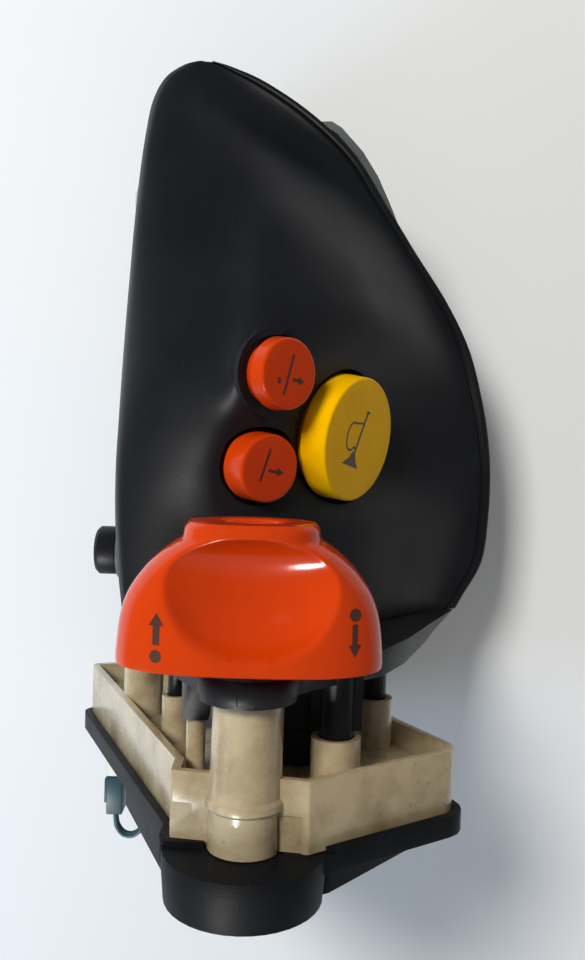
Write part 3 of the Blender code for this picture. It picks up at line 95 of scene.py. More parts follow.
# ---- finishes
@dataclass(frozen=True)
class Finish:
    """How one kind of surface looks.

    The stain is a second colour in soft patches, the speck a third in small spots, and the
    grain a bump, all of them sized in metres.
    """

    slot: str
    colour: Colour
    roughness: float
    metallic: float = 0.0
    specular: float = 0.5
    coat: float = 0.0
    coat_roughness: float = 0.1
    stain: Colour = (0.0, 0.0, 0.0)
    stain_share: float = 0.0
    stain_size: float = 0.02
    speck: Colour = (0.0, 0.0, 0.0)
    speck_share: float = 0.0
    speck_size: float = 0.0015
    wear: float = 0.04
    grain: float = 0.0
    grain_size: float = 0.0006


class Look(Enum):
    """The finishes of the control head."""

    BLACK = Finish("black_plastic", (0.0060, 0.0067, 0.0084), 0.46, specular=0.27,
                   stain=(0.011, 0.012, 0.014), stain_share=0.5, stain_size=0.03,
                   speck=(0.10, 0.10, 0.10), speck_share=0.10, speck_size=0.0012, wear=0.07,
                   grain=0.00004, grain_size=0.0005)
    CASING = Finish("casing_plastic", (0.0044, 0.0054, 0.0074), 0.52, specular=0.11,
                    stain=(0.008, 0.009, 0.011), stain_share=0.6, stain_size=0.02,
                    speck=(0.09, 0.09, 0.085), speck_share=0.12, wear=0.08, grain=0.00005,
                    grain_size=0.0006)
    BEIGE = Finish("beige_plastic", (0.47, 0.375, 0.225), 0.26, specular=0.8, coat=0.35,
                   coat_roughness=0.16, stain=(0.22, 0.150, 0.066), stain_share=0.80,
                   stain_size=0.016, speck=(0.12, 0.075, 0.035), speck_share=0.45,
                   speck_size=0.0022, wear=0.10, grain=0.00003, grain_size=0.0012)
    RED = Finish("orange_red_plastic", (0.58, 0.042, 0.0015), 0.15, specular=0.26,
                 stain=(0.53, 0.038, 0.0015), stain_share=0.5, stain_size=0.01, wear=0.05,
                 grain=0.000012, grain_size=0.0008)
    YELLOW = Finish("yellow_plastic", (0.88, 0.46, 0.0), 0.42, specular=0.07,
                    stain=(0.74, 0.36, 0.0), stain_share=0.4, stain_size=0.008,
                    speck=(0.25, 0.15, 0.03), speck_share=0.10, wear=0.06, grain=0.000012,
                    grain_size=0.0008)
    GREY = Finish("grey_plastic", (0.11, 0.12, 0.118), 0.22, coat=0.2, wear=0.05)
    WHITE = Finish("white_plastic", (0.62, 0.61, 0.55), 0.45, wear=0.05)
    TEAL = Finish("teal_plastic", (0.012, 0.055, 0.075), 0.42, stain=(0.03, 0.08, 0.095),
                  stain_share=0.4, stain_size=0.004, wear=0.06)
    RUBBER = Finish("rubber", (0.013, 0.013, 0.014), 0.75, wear=0.05)
    STEEL = Finish("steel", (0.52, 0.52, 0.53), 0.32, metallic=1.0, wear=0.08)
    BRONZE = Finish("bronze", (0.48, 0.31, 0.13), 0.38, metallic=1.0, wear=0.06)
    BOARD = Finish("board", (0.010, 0.10, 0.040), 0.40, wear=0.04)
    MAGNET = Finish("magnet", (0.32, 0.32, 0.33), 0.35, metallic=1.0, wear=0.04)
    PRINT = Finish("casing_plastic", (0.060, 0.018, 0.010), 0.50, wear=0.04)
    DARK_PRINT = Finish("casing_plastic", (0.070, 0.050, 0.010), 0.50, wear=0.04)


class Value:
    """A node socket that arithmetic turns into Math nodes."""

    def __init__(self, graph: Graph, socket: bpy.types.NodeSocket) -> None:
        """Wraps an output socket of a material."""
        self.graph = graph
        self.socket = socket

    def _math(self, operation: str, first: object, second: object) -> Value:
        """Adds a Math node on two inputs and gives its output."""
        return self.graph.node("ShaderNodeMath", {"operation": operation}, {0: first, 1: second})

    def __add__(self, other: object) -> Value:
        """Adds to this value."""
        return self._math("ADD", self, other)

    __radd__ = __add__

    def __sub__(self, other: object) -> Value:
        """Takes from this value."""
        return self._math("SUBTRACT", self, other)

    def __rsub__(self, other: object) -> Value:
        """Takes this value away."""
        return self._math("SUBTRACT", other, self)

    def __mul__(self, other: object) -> Value:
        """Multiplies this value."""
        return self._math("MULTIPLY", self, other)

    __rmul__ = __mul__


class Graph:
    """One material's node tree."""

    def __init__(self, name: str) -> None:
        """Starts a material.

        Args:
            name: the material's name.
        """
        self.material = bpy.data.materials.new(name)
        self.material.use_nodes = True
        self.tree = self.material.node_tree
        self.shader = self.tree.nodes["Principled BSDF"]

    def node(self, kind: str, settings: dict[str, object], sockets: dict[object, object],
             out: object = 0) -> Value:
        """Adds any node.

        Args:
            kind: the node's type.
            settings: its properties.
            sockets: its inputs, by name or number: numbers, colours or other values.
            out: the output that is wanted.

        Returns:
            That output.
        """
        made = self.tree.nodes.new(kind)
        for key, value in settings.items():
            setattr(made, key, value)
        for key, value in sockets.items():
            self.feed(made.inputs[key], value)
        return Value(self, made.outputs[out])

    def fix(self, values: dict[str, object]) -> None:
        """Sets plain numbers and colours on the shader's own sockets."""
        for name, value in values.items():
            self.shader.inputs[name].default_value = value

    def feed(self, socket: bpy.types.NodeSocket, value: object) -> None:
        """Links a value to a socket, or sets a plain number or colour on it.

        Args:
            socket: an input.
            value: a value, a number or a colour.
        """
        if isinstance(value, Value):
            self.tree.links.new(value.socket, socket)
        else:
            socket.default_value = value


class Palette:
    """Makes each finish's material once."""

    def __init__(self) -> None:
        """Starts with no materials."""
        self.made: dict[Look, bpy.types.Material] = {}

    def material(self, look: Look) -> bpy.types.Material:
        """Gives a finish's material."""
        if look not in self.made:
            self.made[look] = self._make(look)
        return self.made[look]

    def by_slot(self, slot: str) -> bpy.types.Material:
        """Gives the material of one of the record's slots."""
        return self.material(next(look for look in Look if look.value.slot == slot))

    def _make(self, look: Look) -> bpy.types.Material:
        """Builds a finish from noise on Object coordinates.

        Args:
            look: the finish.

        Returns:
            The new material.
        """
        finish = look.value
        graph = Graph(look.name.lower())
        place = graph.node("ShaderNodeTexCoord", {}, {}, "Object")
        shader = graph.shader
        colour: object = (*finish.colour, 1.0)
        graph.fix({"Base Color": colour, "Metallic": finish.metallic,
                   "Specular IOR Level": finish.specular, "Coat Weight": finish.coat,
                   "Coat Roughness": finish.coat_roughness})
        for over, size, band, share in (
                (finish.stain, finish.stain_size, STAIN_BAND, finish.stain_share),
                (finish.speck, finish.speck_size, SPECK_BAND, finish.speck_share)):
            if share:
                colour = self._patches(graph, place, colour, over, size, band, share)
        graph.feed(shader.inputs["Base Color"], colour)
        cloud = self._noise(graph, place, finish.stain_size * 0.4, 4.0)
        graph.feed(shader.inputs["Roughness"],
                   finish.roughness + (cloud - 0.5) * (2.0 * finish.wear))
        if finish.grain:
            grain = self._noise(graph, place, finish.grain_size, 2.0)
            bump = graph.node("ShaderNodeBump", {}, {"Strength": 1.0, "Distance": finish.grain,
                                                     "Height": grain}, "Normal")
            graph.feed(shader.inputs["Normal"], bump)
        return graph.material

    @staticmethod
    def _noise(graph: Graph, place: Value, size: float, detail: float) -> Value:
        """Adds a noise, from 0 to 1, with patches of a given size."""
        return graph.node("ShaderNodeTexNoise", {},
                          {"Vector": place, "Scale": 1.0 / size, "Detail": detail,
                           "Roughness": 0.6}, "Fac")

    def _patches(self, graph: Graph, place: Value, under: object, over: Colour, size: float,
                 band: Pair, share: float) -> Value:
        """Mixes a second colour over the first in patches.

        Args:
            graph: the material.
            place: where the pattern is read.
            under: the first colour.
            over: the second colour.
            size: how wide the patches are.
            band: the noise values between which the second colour comes in.
            share: its greatest weight.

        Returns:
            The mixed colour.
        """
        noise = self._noise(graph, place, size, 5.0)
        weight = graph.node("ShaderNodeMapRange", {},
                            {"Value": noise, "From Min": band[0], "From Max": band[1],
                             "To Min": 0.0, "To Max": share}, "Result")
        return graph.node("ShaderNodeMix", {"data_type": "RGBA"},
                          {0: weight, 6: under, 7: (*over, 1.0)}, 2)


# ---- bench
@dataclass
class Bench:
    """Shapes, cuts and finishes pieces."""

    frame: dict
    palette: Palette = field(default_factory=Palette)

    @staticmethod
    def pick(thing: Piece) -> Piece:
        """Makes an object the only selected and active one.

        Args:
            thing: the object.

        Returns:
            The same object.
        """
        bpy.ops.object.select_all(action="DESELECT")
        thing.select_set(True)
        bpy.context.view_layer.objects.active = thing
        return thing

    def modify(self, thing: Piece, kind: str, **settings: object) -> Piece:
        """Adds a modifier and applies it.

        Args:
            thing: the object.
            kind: the modifier's type.
            **settings: its properties.

        Returns:
            The same object.
        """
        self.pick(thing)
        step = thing.modifiers.new(kind.lower(), kind)
        for key, value in settings.items():
            setattr(step, key, value)
        bpy.ops.object.modifier_apply(modifier=step.name)
        return thing

    def bevel(self, thing: Piece, width: float, segments: int = 2) -> Piece:
        """Rounds an object's edges where they turn by 40 degrees or more."""
        return self.modify(thing, "BEVEL", width=width, segments=segments,
                           limit_method="ANGLE", angle_limit=math.radians(40.0))

    def combine(self, thing: Piece, tool: Piece, operation: str = "UNION") -> Piece:
        """Joins a tool to an object, or cuts it away, and removes the tool.

        Args:
            thing: the object.
            tool: the other object.
            operation: the Boolean's operation.

        Returns:
            The first object.
        """
        self.modify(thing, "BOOLEAN", operation=operation, solver="EXACT", object=tool)
        bpy.data.objects.remove(tool)
        return thing

    @staticmethod
    def link(name: str, mesh: bpy.types.Mesh) -> Piece:
        """Puts a mesh into the scene.

        Args:
            name: the new object's name.
            mesh: its mesh.

        Returns:
            The new object.
        """
        made = bpy.data.objects.new(name, mesh)
        bpy.context.scene.collection.objects.link(made)
        return made

    def shape(self, name: str, rows: Grid, faces: Sequence[tuple[int, ...]]) -> Piece:
        """Makes an object from rows of points, with its faces outwards.

        Args:
            name: the new object's name.
            rows: its points, row by row.
            faces: each face's point numbers.

        Returns:
            The new object.
        """
        mesh = bpy.data.meshes.new(name)
        mesh.from_pydata([tuple(point) for row in rows for point in row], [], faces)
        made = self.pick(self.link(name, mesh))
        bpy.ops.object.mode_set(mode="EDIT")
        bpy.ops.mesh.select_all(action="SELECT")
        bpy.ops.mesh.normals_make_consistent(inside=False)
        bpy.ops.object.mode_set(mode="OBJECT")
        return made

    def rings(self, name: str, loops: Grid, joined: bool = False) -> Piece:
        """Makes a surface through closed rings of points.

        Args:
            name: the new object's name.
            loops: the rings, each with as many points.
            joined: the last ring meets the first; otherwise both ends are capped.

        Returns:
            The new object.
        """
        across, up = len(loops[0]), len(loops)
        faces = []
        for j in range(up if joined else up - 1):
            k = (j + 1) % up
            for i in range(across):
                n = (i + 1) % across
                faces.append((j * across + i, j * across + n, k * across + n, k * across + i))
        if not joined:
            faces.append(tuple(reversed(range(across))))
            faces.append(tuple((up - 1) * across + i for i in range(across)))
        return self.shape(name, loops, faces)

    def slab(self, name: str, front: Grid, back: Grid) -> Piece:
        """Makes a wall between two grids of points.

        Args:
            name: the new object's name.
            front: the outer grid, row by row.
            back: the inner grid, with as many points.

        Returns:
            The new object.
        """
        up, across = len(front), len(front[0])
        far = up * across
        faces = []
        for j in range(up - 1):
            for i in range(across - 1):
                a, b = j * across + i, (j + 1) * across + i
                faces.append((a, a + 1, b + 1, b))
                faces.append((far + a, far + b, far + b + 1, far + a + 1))
        edge = (list(range(across)) + [j * across + across - 1 for j in range(1, up)]
                + [(up - 1) * across + i for i in range(across - 2, -1, -1)]
                + [j * across for j in range(up - 2, 0, -1)])
        for a, b in zip(edge, edge[1:] + edge[:1]):
            faces.append((a, far + a, far + b, b))
        return self.shape(name, [*front, *back], faces)

    def turned(self, name: str, profile: Sequence[Pair], steps: int, place: Matrix) -> Piece:
        """Turns a profile of (radius, height) about Z, with flat ends, and moves it."""
        rings = [circle(radius, height, steps) for radius, height in profile]
        return self.aim(self.rings(name, rings), place)

    def block(self, size: Sequence[float], place: Matrix) -> Piece:
        """Makes a block about its own middle, and moves it."""
        bpy.ops.mesh.primitive_cube_add(size=1.0)
        return self.aim(bpy.context.object, place @ Matrix.Diagonal((*size, 1.0)))

    def aim(self, thing: Piece, turn: Matrix) -> Piece:
        """Moves an object by a matrix and puts its place into its mesh.

        Args:
            thing: the object.
            turn: the matrix.

        Returns:
            The same object.
        """
        self.pick(thing).matrix_world = turn
        bpy.ops.object.transform_apply(location=True, rotation=True, scale=True)
        return thing

    def copy(self, node: str) -> Piece:
        """Copies a CAD node's mesh and merges its loose triangles into flat faces.

        Args:
            node: the node's name.

        Returns:
            The copy, which rides on nothing yet.
        """
        source = self.frame["nodes"][node]
        made = self.pick(self.link(node + "_fine", source.data.copy()))
        bpy.ops.object.mode_set(mode="EDIT")
        bpy.ops.mesh.select_all(action="SELECT")
        bpy.ops.mesh.remove_doubles(threshold=1e-6)
        bpy.ops.mesh.dissolve_limited(angle_limit=math.radians(0.5))
        bpy.ops.object.mode_set(mode="OBJECT")
        return made

    def refine(self, node: str, width: float, look: Look, body: str = "housing",
               segments: int = 2, angle: float = 35.0) -> Piece:
        """Copies a CAD node, rounds the copy's edges by a width and finishes it."""
        made = self.bevel(self.copy(node), width, segments)
        return self.done(made, look, body, [node], angle)

    def done(self, thing: Piece, look: Look, body: str, nodes: Sequence[str] = (),
             angle: float = 35.0) -> Piece:
        """Smooths, paints and mounts a finished piece.

        Args:
            thing: the piece.
            look: its finish.
            body: the body that it rides on.
            nodes: the CAD nodes that it stands for.
            angle: edges flatter than this, in degrees, are shaded smooth.

        Returns:
            The same piece.
        """
        self.pick(thing)
        bpy.ops.object.shade_smooth_by_angle(angle=math.radians(angle))
        thing.data.materials.clear()
        thing.data.materials.append(self.palette.material(look))
        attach(thing, body)
        if nodes:
            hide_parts(*nodes)
        log.info("%s: %d faces", thing.name, len(thing.data.polygons))
        return thing


# ---- curves
def circle(radius: float, height: float, steps: int) -> list[Vector]:
    """Gives the points of a level circle about the Z axis."""
    return [Vector((radius * math.cos(a), radius * math.sin(a), height))
            for a in (math.tau * i / steps for i in range(steps))]


def blend(near: Sequence, share: float) -> object:
    """Gives a smooth curve's value part of the way from the second of four to the third."""
    a, b, c, d = near
    return 0.5 * (2 * b + (c - a) * share + (2 * a - 5 * b + 4 * c - d) * share ** 2
                  + (3 * b - a - 3 * c + d) * share ** 3)


def spline(points: Sequence, place: float) -> object:
    """Reads a smooth curve through evenly numbered points.

    Args:
        points: numbers or vectors.
        place: a fractional index.

    Returns:
        The point there.
    """
    last = len(points) - 1
    i = min(int(place), last - 1)
    return blend([points[min(max(k, 0), last)] for k in range(i - 1, i + 3)], place - i)


def soft_max(a: float, b: float, reach: float) -> float:
    """Gives the greater of two numbers, rounded over where they are nearer than reach."""
    share = min(max(0.5 + 0.5 * (a - b) / reach, 0.0), 1.0)
    return b * (1 - share) + a * share + reach * share * (1 - share)


# ---- push buttons
@dataclass(frozen=True)
class Button:
    """One push button: where its face lies and which way it points."""

    body: str
    centre: Point
    normal: Point
    radius: float
    height: float
    travel: float
    look: Look

    def turn(self) -> Matrix:
        """Gives the matrix that puts a shape on the face: X right, Y up, Z outwards.

        Returns:
            The matrix.
        """
        out = Vector(self.normal).normalized()
        right = UP.cross(out).normalized()
        turn = Matrix((right, out.cross(right), out)).transposed().to_4x4()
        return Matrix.Translation(Vector(self.centre)) @ turn


BUTTONS = (
    Button("lift", (0.0078, 0.0260, FLOOR_FOOT + 0.0817), (0.670, -0.740, -0.060), 0.0102,
           0.0050, 0.0025, Look.RED),
    Button("lower", (0.0030, 0.0330, FLOOR_FOOT + 0.0555), (0.600, -0.790, -0.100), 0.0101,
           0.0088, 0.0025, Look.RED),
    Button("horn", (0.0292, 0.0510, FLOOR_FOOT + 0.0646), (0.810, -0.570, -0.140), 0.0191,
           0.0085, 0.0022, Look.YELLOW))


@dataclass
class PushButtons:
    """Caps with rounded edges, their stems, and the signs on their faces."""

    bench: Bench
    face_rings: Pair = (0.3, 0.7)
    barb: float = 0.0030
    tip: Pair = (0.0018, 0.0016)         # radius, length
    foot_edge: Pair = (0.0002, 0.0003)   # width, height
    rounding: float = 0.0009
    draft: float = 0.0003
    print_reach: Pair = (-0.00005, 0.00004)     # into the face, out of it

    def build(self) -> None:
        """Makes the three caps and their signs."""
        for button in BUTTONS:
            self._cap(button)
        signs = (self._lift_sign(), self._lower_sign(), self._horn_sign())
        for button, shapes in zip(BUTTONS, signs):
            self._sign(button, shapes)

    def _cap(self, button: Button) -> None:
        """Makes one cap.

        Args:
            button: the button.
        """
        radius, depth = button.radius, -button.height
        foot = depth - SKIRT_LENGTH
        back = foot - button.travel - GAP - WELL_FLOOR - GAP
        skirt = radius * SKIRT_SHARE
        tip, length = self.tip
        width, rise = self.foot_edge
        edge = [(radius - self.draft - self.rounding * (1 - math.sin(a)),
                 -self.rounding * (1 - math.cos(a)))
                for a in [math.radians(15 * i) for i in range(7)]]
        face = [(radius * share, 0.0) for share in self.face_rings]
        profile = [*face, *edge, (radius, depth + rise), (radius - width, depth),
                   (skirt, depth), (skirt, foot), (STEM_RADIUS, foot), (STEM_RADIUS, back),
                   (self.barb, back), (tip, back - length)]
        cap = self.bench.turned(button.body + "_cap", profile, 96, button.turn())
        self.bench.done(cap, button.look, button.body, [button.body + "_button"])

    def _sign(self, button: Button, shapes: Sequence[Sequence[Pair]]) -> None:
        """Prints flat shapes on a cap's face.

        Args:
            button: the button.
            shapes: outlines in millimetres, X right and Y up.
        """
        parts = [self.bench.rings("part", [[Vector((x * MM, y * MM, z)) for x, y in outline]
                                           for z in self.print_reach])
                 for outline in shapes]
        sign = self.bench.pick(parts[0])
        for part in parts[1:]:
            part.select_set(True)
        bpy.ops.object.join()
        sign.name = button.body + "_sign"
        self.bench.aim(sign, button.turn())
        look = Look.DARK_PRINT if button.look is Look.YELLOW else Look.PRINT
        self.bench.done(sign, look, button.body)

    @staticmethod
    def _bar(start: Pair, end: Pair, width: float) -> list[Pair]:
        """Outlines a straight bar.

        Args:
            start: one end.
            end: the other end.
            width: its width.

        Returns:
            Its four corners.
        """
        run = Vector(end) - Vector(start)
        side = Vector((-run.y, run.x)).normalized() * width / 2
        a, b = Vector(start), Vector(end)
        return [tuple(a + side), tuple(a - side), tuple(b - side), tuple(b + side)]

    def _lift_sign(self) -> list[list[Pair]]:
        """Outlines an upright line with an arrow on its right and a dot on its left."""
        return [self._bar((1.0, 5.4), (-1.8, -5.8), 0.75),
                self._bar((1.2, -1.5), (3.4, -1.7), 0.9),
                [(3.2, -0.4), (3.2, -3.0), (5.4, -1.9)],
                self._bar((-4.2, -2.0), (-3.2, -2.1), 1.7)]

    def _lower_sign(self) -> list[list[Pair]]:
        """Outlines an upright line with a small arrow beside it."""
        return [self._bar((-0.5, 5.6), (-3.2, -3.6), 0.75),
                self._bar((-0.6, -0.5), (2.6, -0.9), 0.9),
                [(2.4, 0.5), (2.4, -2.1), (4.8, -1.1)]]

    def _horn_sign(self) -> list[list[Pair]]:
        """Outlines a horn: a mouthpiece, a straight tube, a bell and a loop.

        Returns:
            The outlines.
        """
        shapes = [self._bar((2.5, 8.4), (-2.3, -4.6), 0.9), self._bar((1.6, 8.5), (3.6, 8.3), 0.7),
                  [(-1.6, -3.9), (-3.0, -3.6), (-4.6, -5.2), (-8.4, -7.0), (0.9, -8.9),
                   (-0.9, -6.2)]]
        loop = [Vector((-4.6 + 2.9 * math.cos(a) + 0.35 * math.sin(a), 1.0 + 4.2 * math.sin(a)))
                for a in [math.radians(70 + 20 * i) for i in range(13)]]
        loop = [Vector((0.6, 5.0))] + loop + [Vector((-1.6, -2.9))]
        for start, end in zip(loop, loop[1:]):
            over = (end - start).normalized() * 0.12
            shapes.append(self._bar(tuple(start - over), tuple(end + over), 0.62))
        return shapes


# ---- hand shell
@dataclass
class HandShell:
    """Moulded face with its rolled rim and button wells, the floor and the rear cover."""

    bench: Bench
    wall: float = 0.0028
    columns: int = 64
    steps_up: int = 6
    # how many columns and rows inside the edge the wall begins to lean forwards
    fade_across: int = 4
    fade_up: int = 11
    clearance: float = 0.00035
    rim_span: float = 3.5       # stations in which the rim's points are looked for
    rim_share: float = 0.6      # most of that stretch that the rim takes
    sleeve_wall: float = 0.0016
    sleeve_lip: float = 0.0026
    clear_of_face: float = 0.012
    # a well's mouth: distance outside its bore, height over the cap's foot
    mouth: tuple[Pair, ...] = (
        (0.0, -0.0010), (0.0003, -0.0004), (0.0009, 0.0), (0.0011, 0.0010))
    # the floor's nose: radius, height over the floor's foot
    nose: tuple[Pair, ...] = (
        (0.0096, 0.0), (0.0112, 0.0), (0.0121, 0.0004), (0.0125, 0.0012), (0.0126, 0.0063),
        (0.0096, 0.0063))
    # distance from the rim, height over the face, in millimetres
    rim: tuple[Pair, ...] = (
        (4.6, 0.0), (4.1, -0.05), (3.8, -0.30), (3.5, -0.45), (3.2, -0.30), (3.0, 0.05),
        (2.7, 0.30), (2.2, 0.45), (1.6, 0.50), (1.0, 0.42), (0.5, 0.20), (0.2, -0.05),
        (0.0, -0.35))
    # rows at rising height above the floor's foot, stations across (X, Y), in millimetres
    rows: tuple = (
        (5.8, ((-39.3, 43.6), (-36.5, 40.7), (-27.0, 40.0), (-10, 41.0), (3, 42.2),
               (16, 46.5), (31, 57.5), (44, 72.0), (58, 87.5), (66.5, 92.0))),
        (11.8, ((-39.7, 43.5), (-36.7, 40.5), (-27.0, 39.7), (-10, 40.7), (3, 41.8),
                (16, 46.0), (31, 57.0), (45, 72.0), (60, 88.5), (70.0, 93.2))),
        (23.8, ((-41.6, 45.5), (-38.5, 41.2), (-28.0, 39.2), (-11, 40.2), (2, 41.0),
                (15, 45.2), (31, 57.5), (47, 74.0), (66, 92.5), (77.2, 97.0))),
        (39.8, ((-43.0, 46.5), (-40.0, 41.2), (-29.0, 38.2), (-12, 38.8), (1, 39.0),
                (14, 45.0), (31, 58.5), (48, 75.0), (68, 93.5), (79.2, 98.0))),
        (54.8, ((-43.3, 47.2), (-40.5, 41.2), (-29.0, 36.2), (-14, 34.6), (-4, 37.8),
                (8, 42.6), (31, 69.0), (44, 79.5), (68.5, 94.0), (79.3, 98.0))),
        (67.8, ((-43.0, 48.3), (-40.0, 41.3), (-29.0, 34.8), (-14, 31.4), (-4, 33.4),
                (9.5, 38.8), (33.5, 71.0), (45, 80.0), (67.5, 92.8), (77.6, 96.3))),
        (81.8, ((-42.6, 49.5), (-39.5, 42.0), (-29.0, 34.5), (-13, 30.0), (-4, 25.6),
                (11, 35.6), (30.5, 60.5), (44, 74.5), (65.5, 91.0), (74.3, 94.2))),
        (97.8, ((-42.0, 50.8), (-39.0, 44.0), (-29.0, 37.5), (-12, 34.0), (0, 29.5),
                (14, 36.5), (30, 50.5), (45, 68.0), (60, 87.8), (68.8, 91.3))),
        (112.8, ((-41.3, 52.0), (-38.5, 46.0), (-29.0, 41.0), (-12, 39.0), (0, 35.0),
                 (12, 40.0), (27, 52.5), (39, 68.0), (51.5, 83.5), (60.0, 87.6))),
        (127.8, ((-40.7, 54.0), (-38.0, 48.5), (-29.0, 44.7), (-12, 43.8), (0, 42.0),
                 (10, 47.0), (22, 58.5), (32, 70.0), (42, 80.3), (48.6, 83.3))),
        (142.8, ((-39.8, 56.0), (-37.0, 51.5), (-29.0, 48.9), (-13, 49.6), (-2, 52.0),
                 (7, 57.6), (16, 65.3), (24.5, 72.8), (32, 77.0), (37.2, 77.9))),
        (155.8, ((-38.6, 57.8), (-36.0, 54.0), (-29.0, 52.5), (-17, 55.2), (-8, 59.0),
                 (0, 64.2), (7, 69.0), (14, 72.2), (21.5, 73.8), (27.0, 73.4))),
        (166.8, ((-37.0, 60.0), (-34.4, 57.5), (-29.0, 57.2), (-21, 60.0), (-14, 62.8),
                 (-8, 65.4), (-2.5, 67.3), (3, 68.4), (8, 68.7), (12.5, 67.9))),
        (174.8, ((-33.6, 62.0), (-31.4, 60.8), (-27.6, 61.0), (-22.7, 62.5), (-18.5, 63.6),
                 (-14.5, 64.3), (-11, 64.7), (-7.5, 64.7), (-5, 64.4), (-2.5, 63.8))),
        (179.3, ((-28.2, 63.2), (-26.7, 62.9), (-25.0, 62.8), (-23.4, 63.0), (-21.8, 63.2),
                 (-20.2, 63.4), (-18.6, 63.5), (-17.0, 63.5), (-15.4, 63.4), (-13.6, 63.2))),
        (180.7, ((-24.0, 63.4), (-23.5, 63.2), (-23.0, 63.1), (-22.5, 63.2), (-22.0, 63.4),
                 (-21.5, 63.6), (-21.0, 63.7), (-20.5, 63.7), (-19.9, 63.6), (-19.3, 63.4))))

    def build(self) -> None:
        """Makes the face, the floor under it and the cover behind it."""
        self._face()
        floor = self.bench.bevel(self.bench.copy("shell_floor"), 0.0004)
        nose = [circle(radius, FLOOR_FOOT + height, 96) for radius, height in self.nose]
        self.bench.combine(floor, self.bench.rings("nose", nose, joined=True))
        self.bench.done(floor, Look.BLACK, "housing", ["shell_floor"])
        self.bench.refine("rear_cover", 0.0006, Look.GREY, angle=50.0)
        self.bench.refine("side_spigot", 0.0003, Look.BLACK)

    def surface(self, across: float, up: float) -> Vector:
        """Reads the face.

        Args:
            across: station, from 0 at the left rim.
            up: row, from 0 at the foot.

        Returns:
            The point, in metres.
        """
        last = len(self.rows) - 1
        i = min(int(up), last - 1)
        near = []
        for k in range(i - 1, i + 3):
            z, row = self.rows[min(max(k, 0), last)]
            near.append(spline([Vector((x, y, z)) for x, y in row], across))
        return blend(near, up - i) * MM + UP * FLOOR_FOOT

    def _stations(self, up: float) -> list[float]:
        """Spaces one row's points: evenly over the face, and closely at the right rim.

        Args:
            up: the row.

        Returns:
            The stations.
        """
        last = len(self.rows[0][1]) - 1
        steps = 120
        places = [last - self.rim_span * k / steps for k in range(steps + 1)]
        reach = [0.0]
        for a, b in zip(places, places[1:]):
            reach.append(reach[-1] + (self.surface(a, up) - self.surface(b, up)).length)
        found = []
        share = min(1.0, reach[-1] * self.rim_share / (self.rim[0][0] * MM))
        for distance, _ in self.rim:
            wanted = distance * MM * share
            k = next(k for k in range(1, len(reach)) if reach[k] >= wanted)
            part = (wanted - reach[k - 1]) / max(reach[k] - reach[k - 1], 1e-9)
            found.append(places[k - 1] + (places[k] - places[k - 1]) * part)
        start = found[0]
        return [start * i / self.columns for i in range(self.columns)] + found

    def _face(self) -> None:
        """Makes the face wall, its sleeves and its wells."""
        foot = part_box("shell_floor")[1][2] + GAP
        low, high = 0.0, 1.0
        for _ in range(30):
            middle = (low + high) / 2
            low, high = (middle, high) if self.surface(0, middle).z < foot else (low, middle)
        last = len(self.rows) - 1
        ups = [low] + [j / self.steps_up for j in range(1, last * self.steps_up + 1)
                       if j / self.steps_up > low + 0.05]
        grid = [[self.surface(place, up) for place in self._stations(up)] for up in ups]
        heights = [0.0] * self.columns + [height * MM for _, height in self.rim]
        raised, behind = [], []
        for j, row in enumerate(grid):
            below, above = grid[max(j - 1, 0)], grid[min(j + 1, len(grid) - 1)]
            line, inner = [], []
            for i, point in enumerate(row):
                side = row[min(i + 1, len(row) - 1)] - row[max(i - 1, 0)]
                out = side.cross(above[i] - below[i]).normalized()
                line.append(point + out * heights[i])
                beside = i - self.columns + self.fade_across
                beneath = j + 1 - len(grid) + self.fade_up
                edge = max(beside / (len(row) - 1 - self.columns + self.fade_across),
                           beneath / self.fade_up, 0.0)
                inner.append(point - out.lerp(Vector((0.0, -1.0, 0.0)), edge) * self.wall)
            raised.append(line)
            behind.append(inner)
        face = self.bench.slab("hand_face", raised, behind)
        for button in BUTTONS:
            self.bench.combine(face, self._sleeve(button))
        for button in BUTTONS:
            self.bench.combine(face, self._well(button), "DIFFERENCE")
        self.bench.done(face, Look.BLACK, "housing", ["hand_shell"], 45.0)

    @staticmethod
    def _depths(button: Button) -> Pair:
        """Gives how far a well's wide bore and its floor lie behind the button's face."""
        wide = button.height + button.travel + GAP
        return wide, wide + SKIRT_LENGTH

    def _sleeve(self, button: Button) -> Piece:
        """Makes the solid sleeve behind the face that a well is cut into.

        Args:
            button: the button.

        Returns:
            The sleeve.
        """
        wide, deep = self._depths(button)
        wall = self.clearance + self.sleeve_wall
        outer, guide = button.radius + wall, button.radius * SKIRT_SHARE + wall
        step = -wide - self.sleeve_wall
        return self.bench.turned("sleeve", (
            (guide, -deep - WELL_FLOOR), (guide, step), (outer, step),
            (outer, -button.height - self.sleeve_lip)), 64, button.turn())

    def _well(self, button: Button) -> Piece:
        """Makes the cutter of a button's well, with a broken edge at its mouth.

        Args:
            button: the button.

        Returns:
            The cutter.
        """
        wide, deep = self._depths(button)
        bore = button.radius + self.clearance
        guide = button.radius * SKIRT_SHARE + self.clearance
        stem = STEM_RADIUS + GAP
        mouth = [(bore + out, height - button.height) for out, height in self.mouth]
        return self.bench.turned("well", (
            (stem, -deep - WELL_FLOOR - MM), (stem, -deep), (guide, -deep), (guide, -wide),
            (bore, -wide), *mouth, (mouth[-1][0], self.clear_of_face)), 64, button.turn())


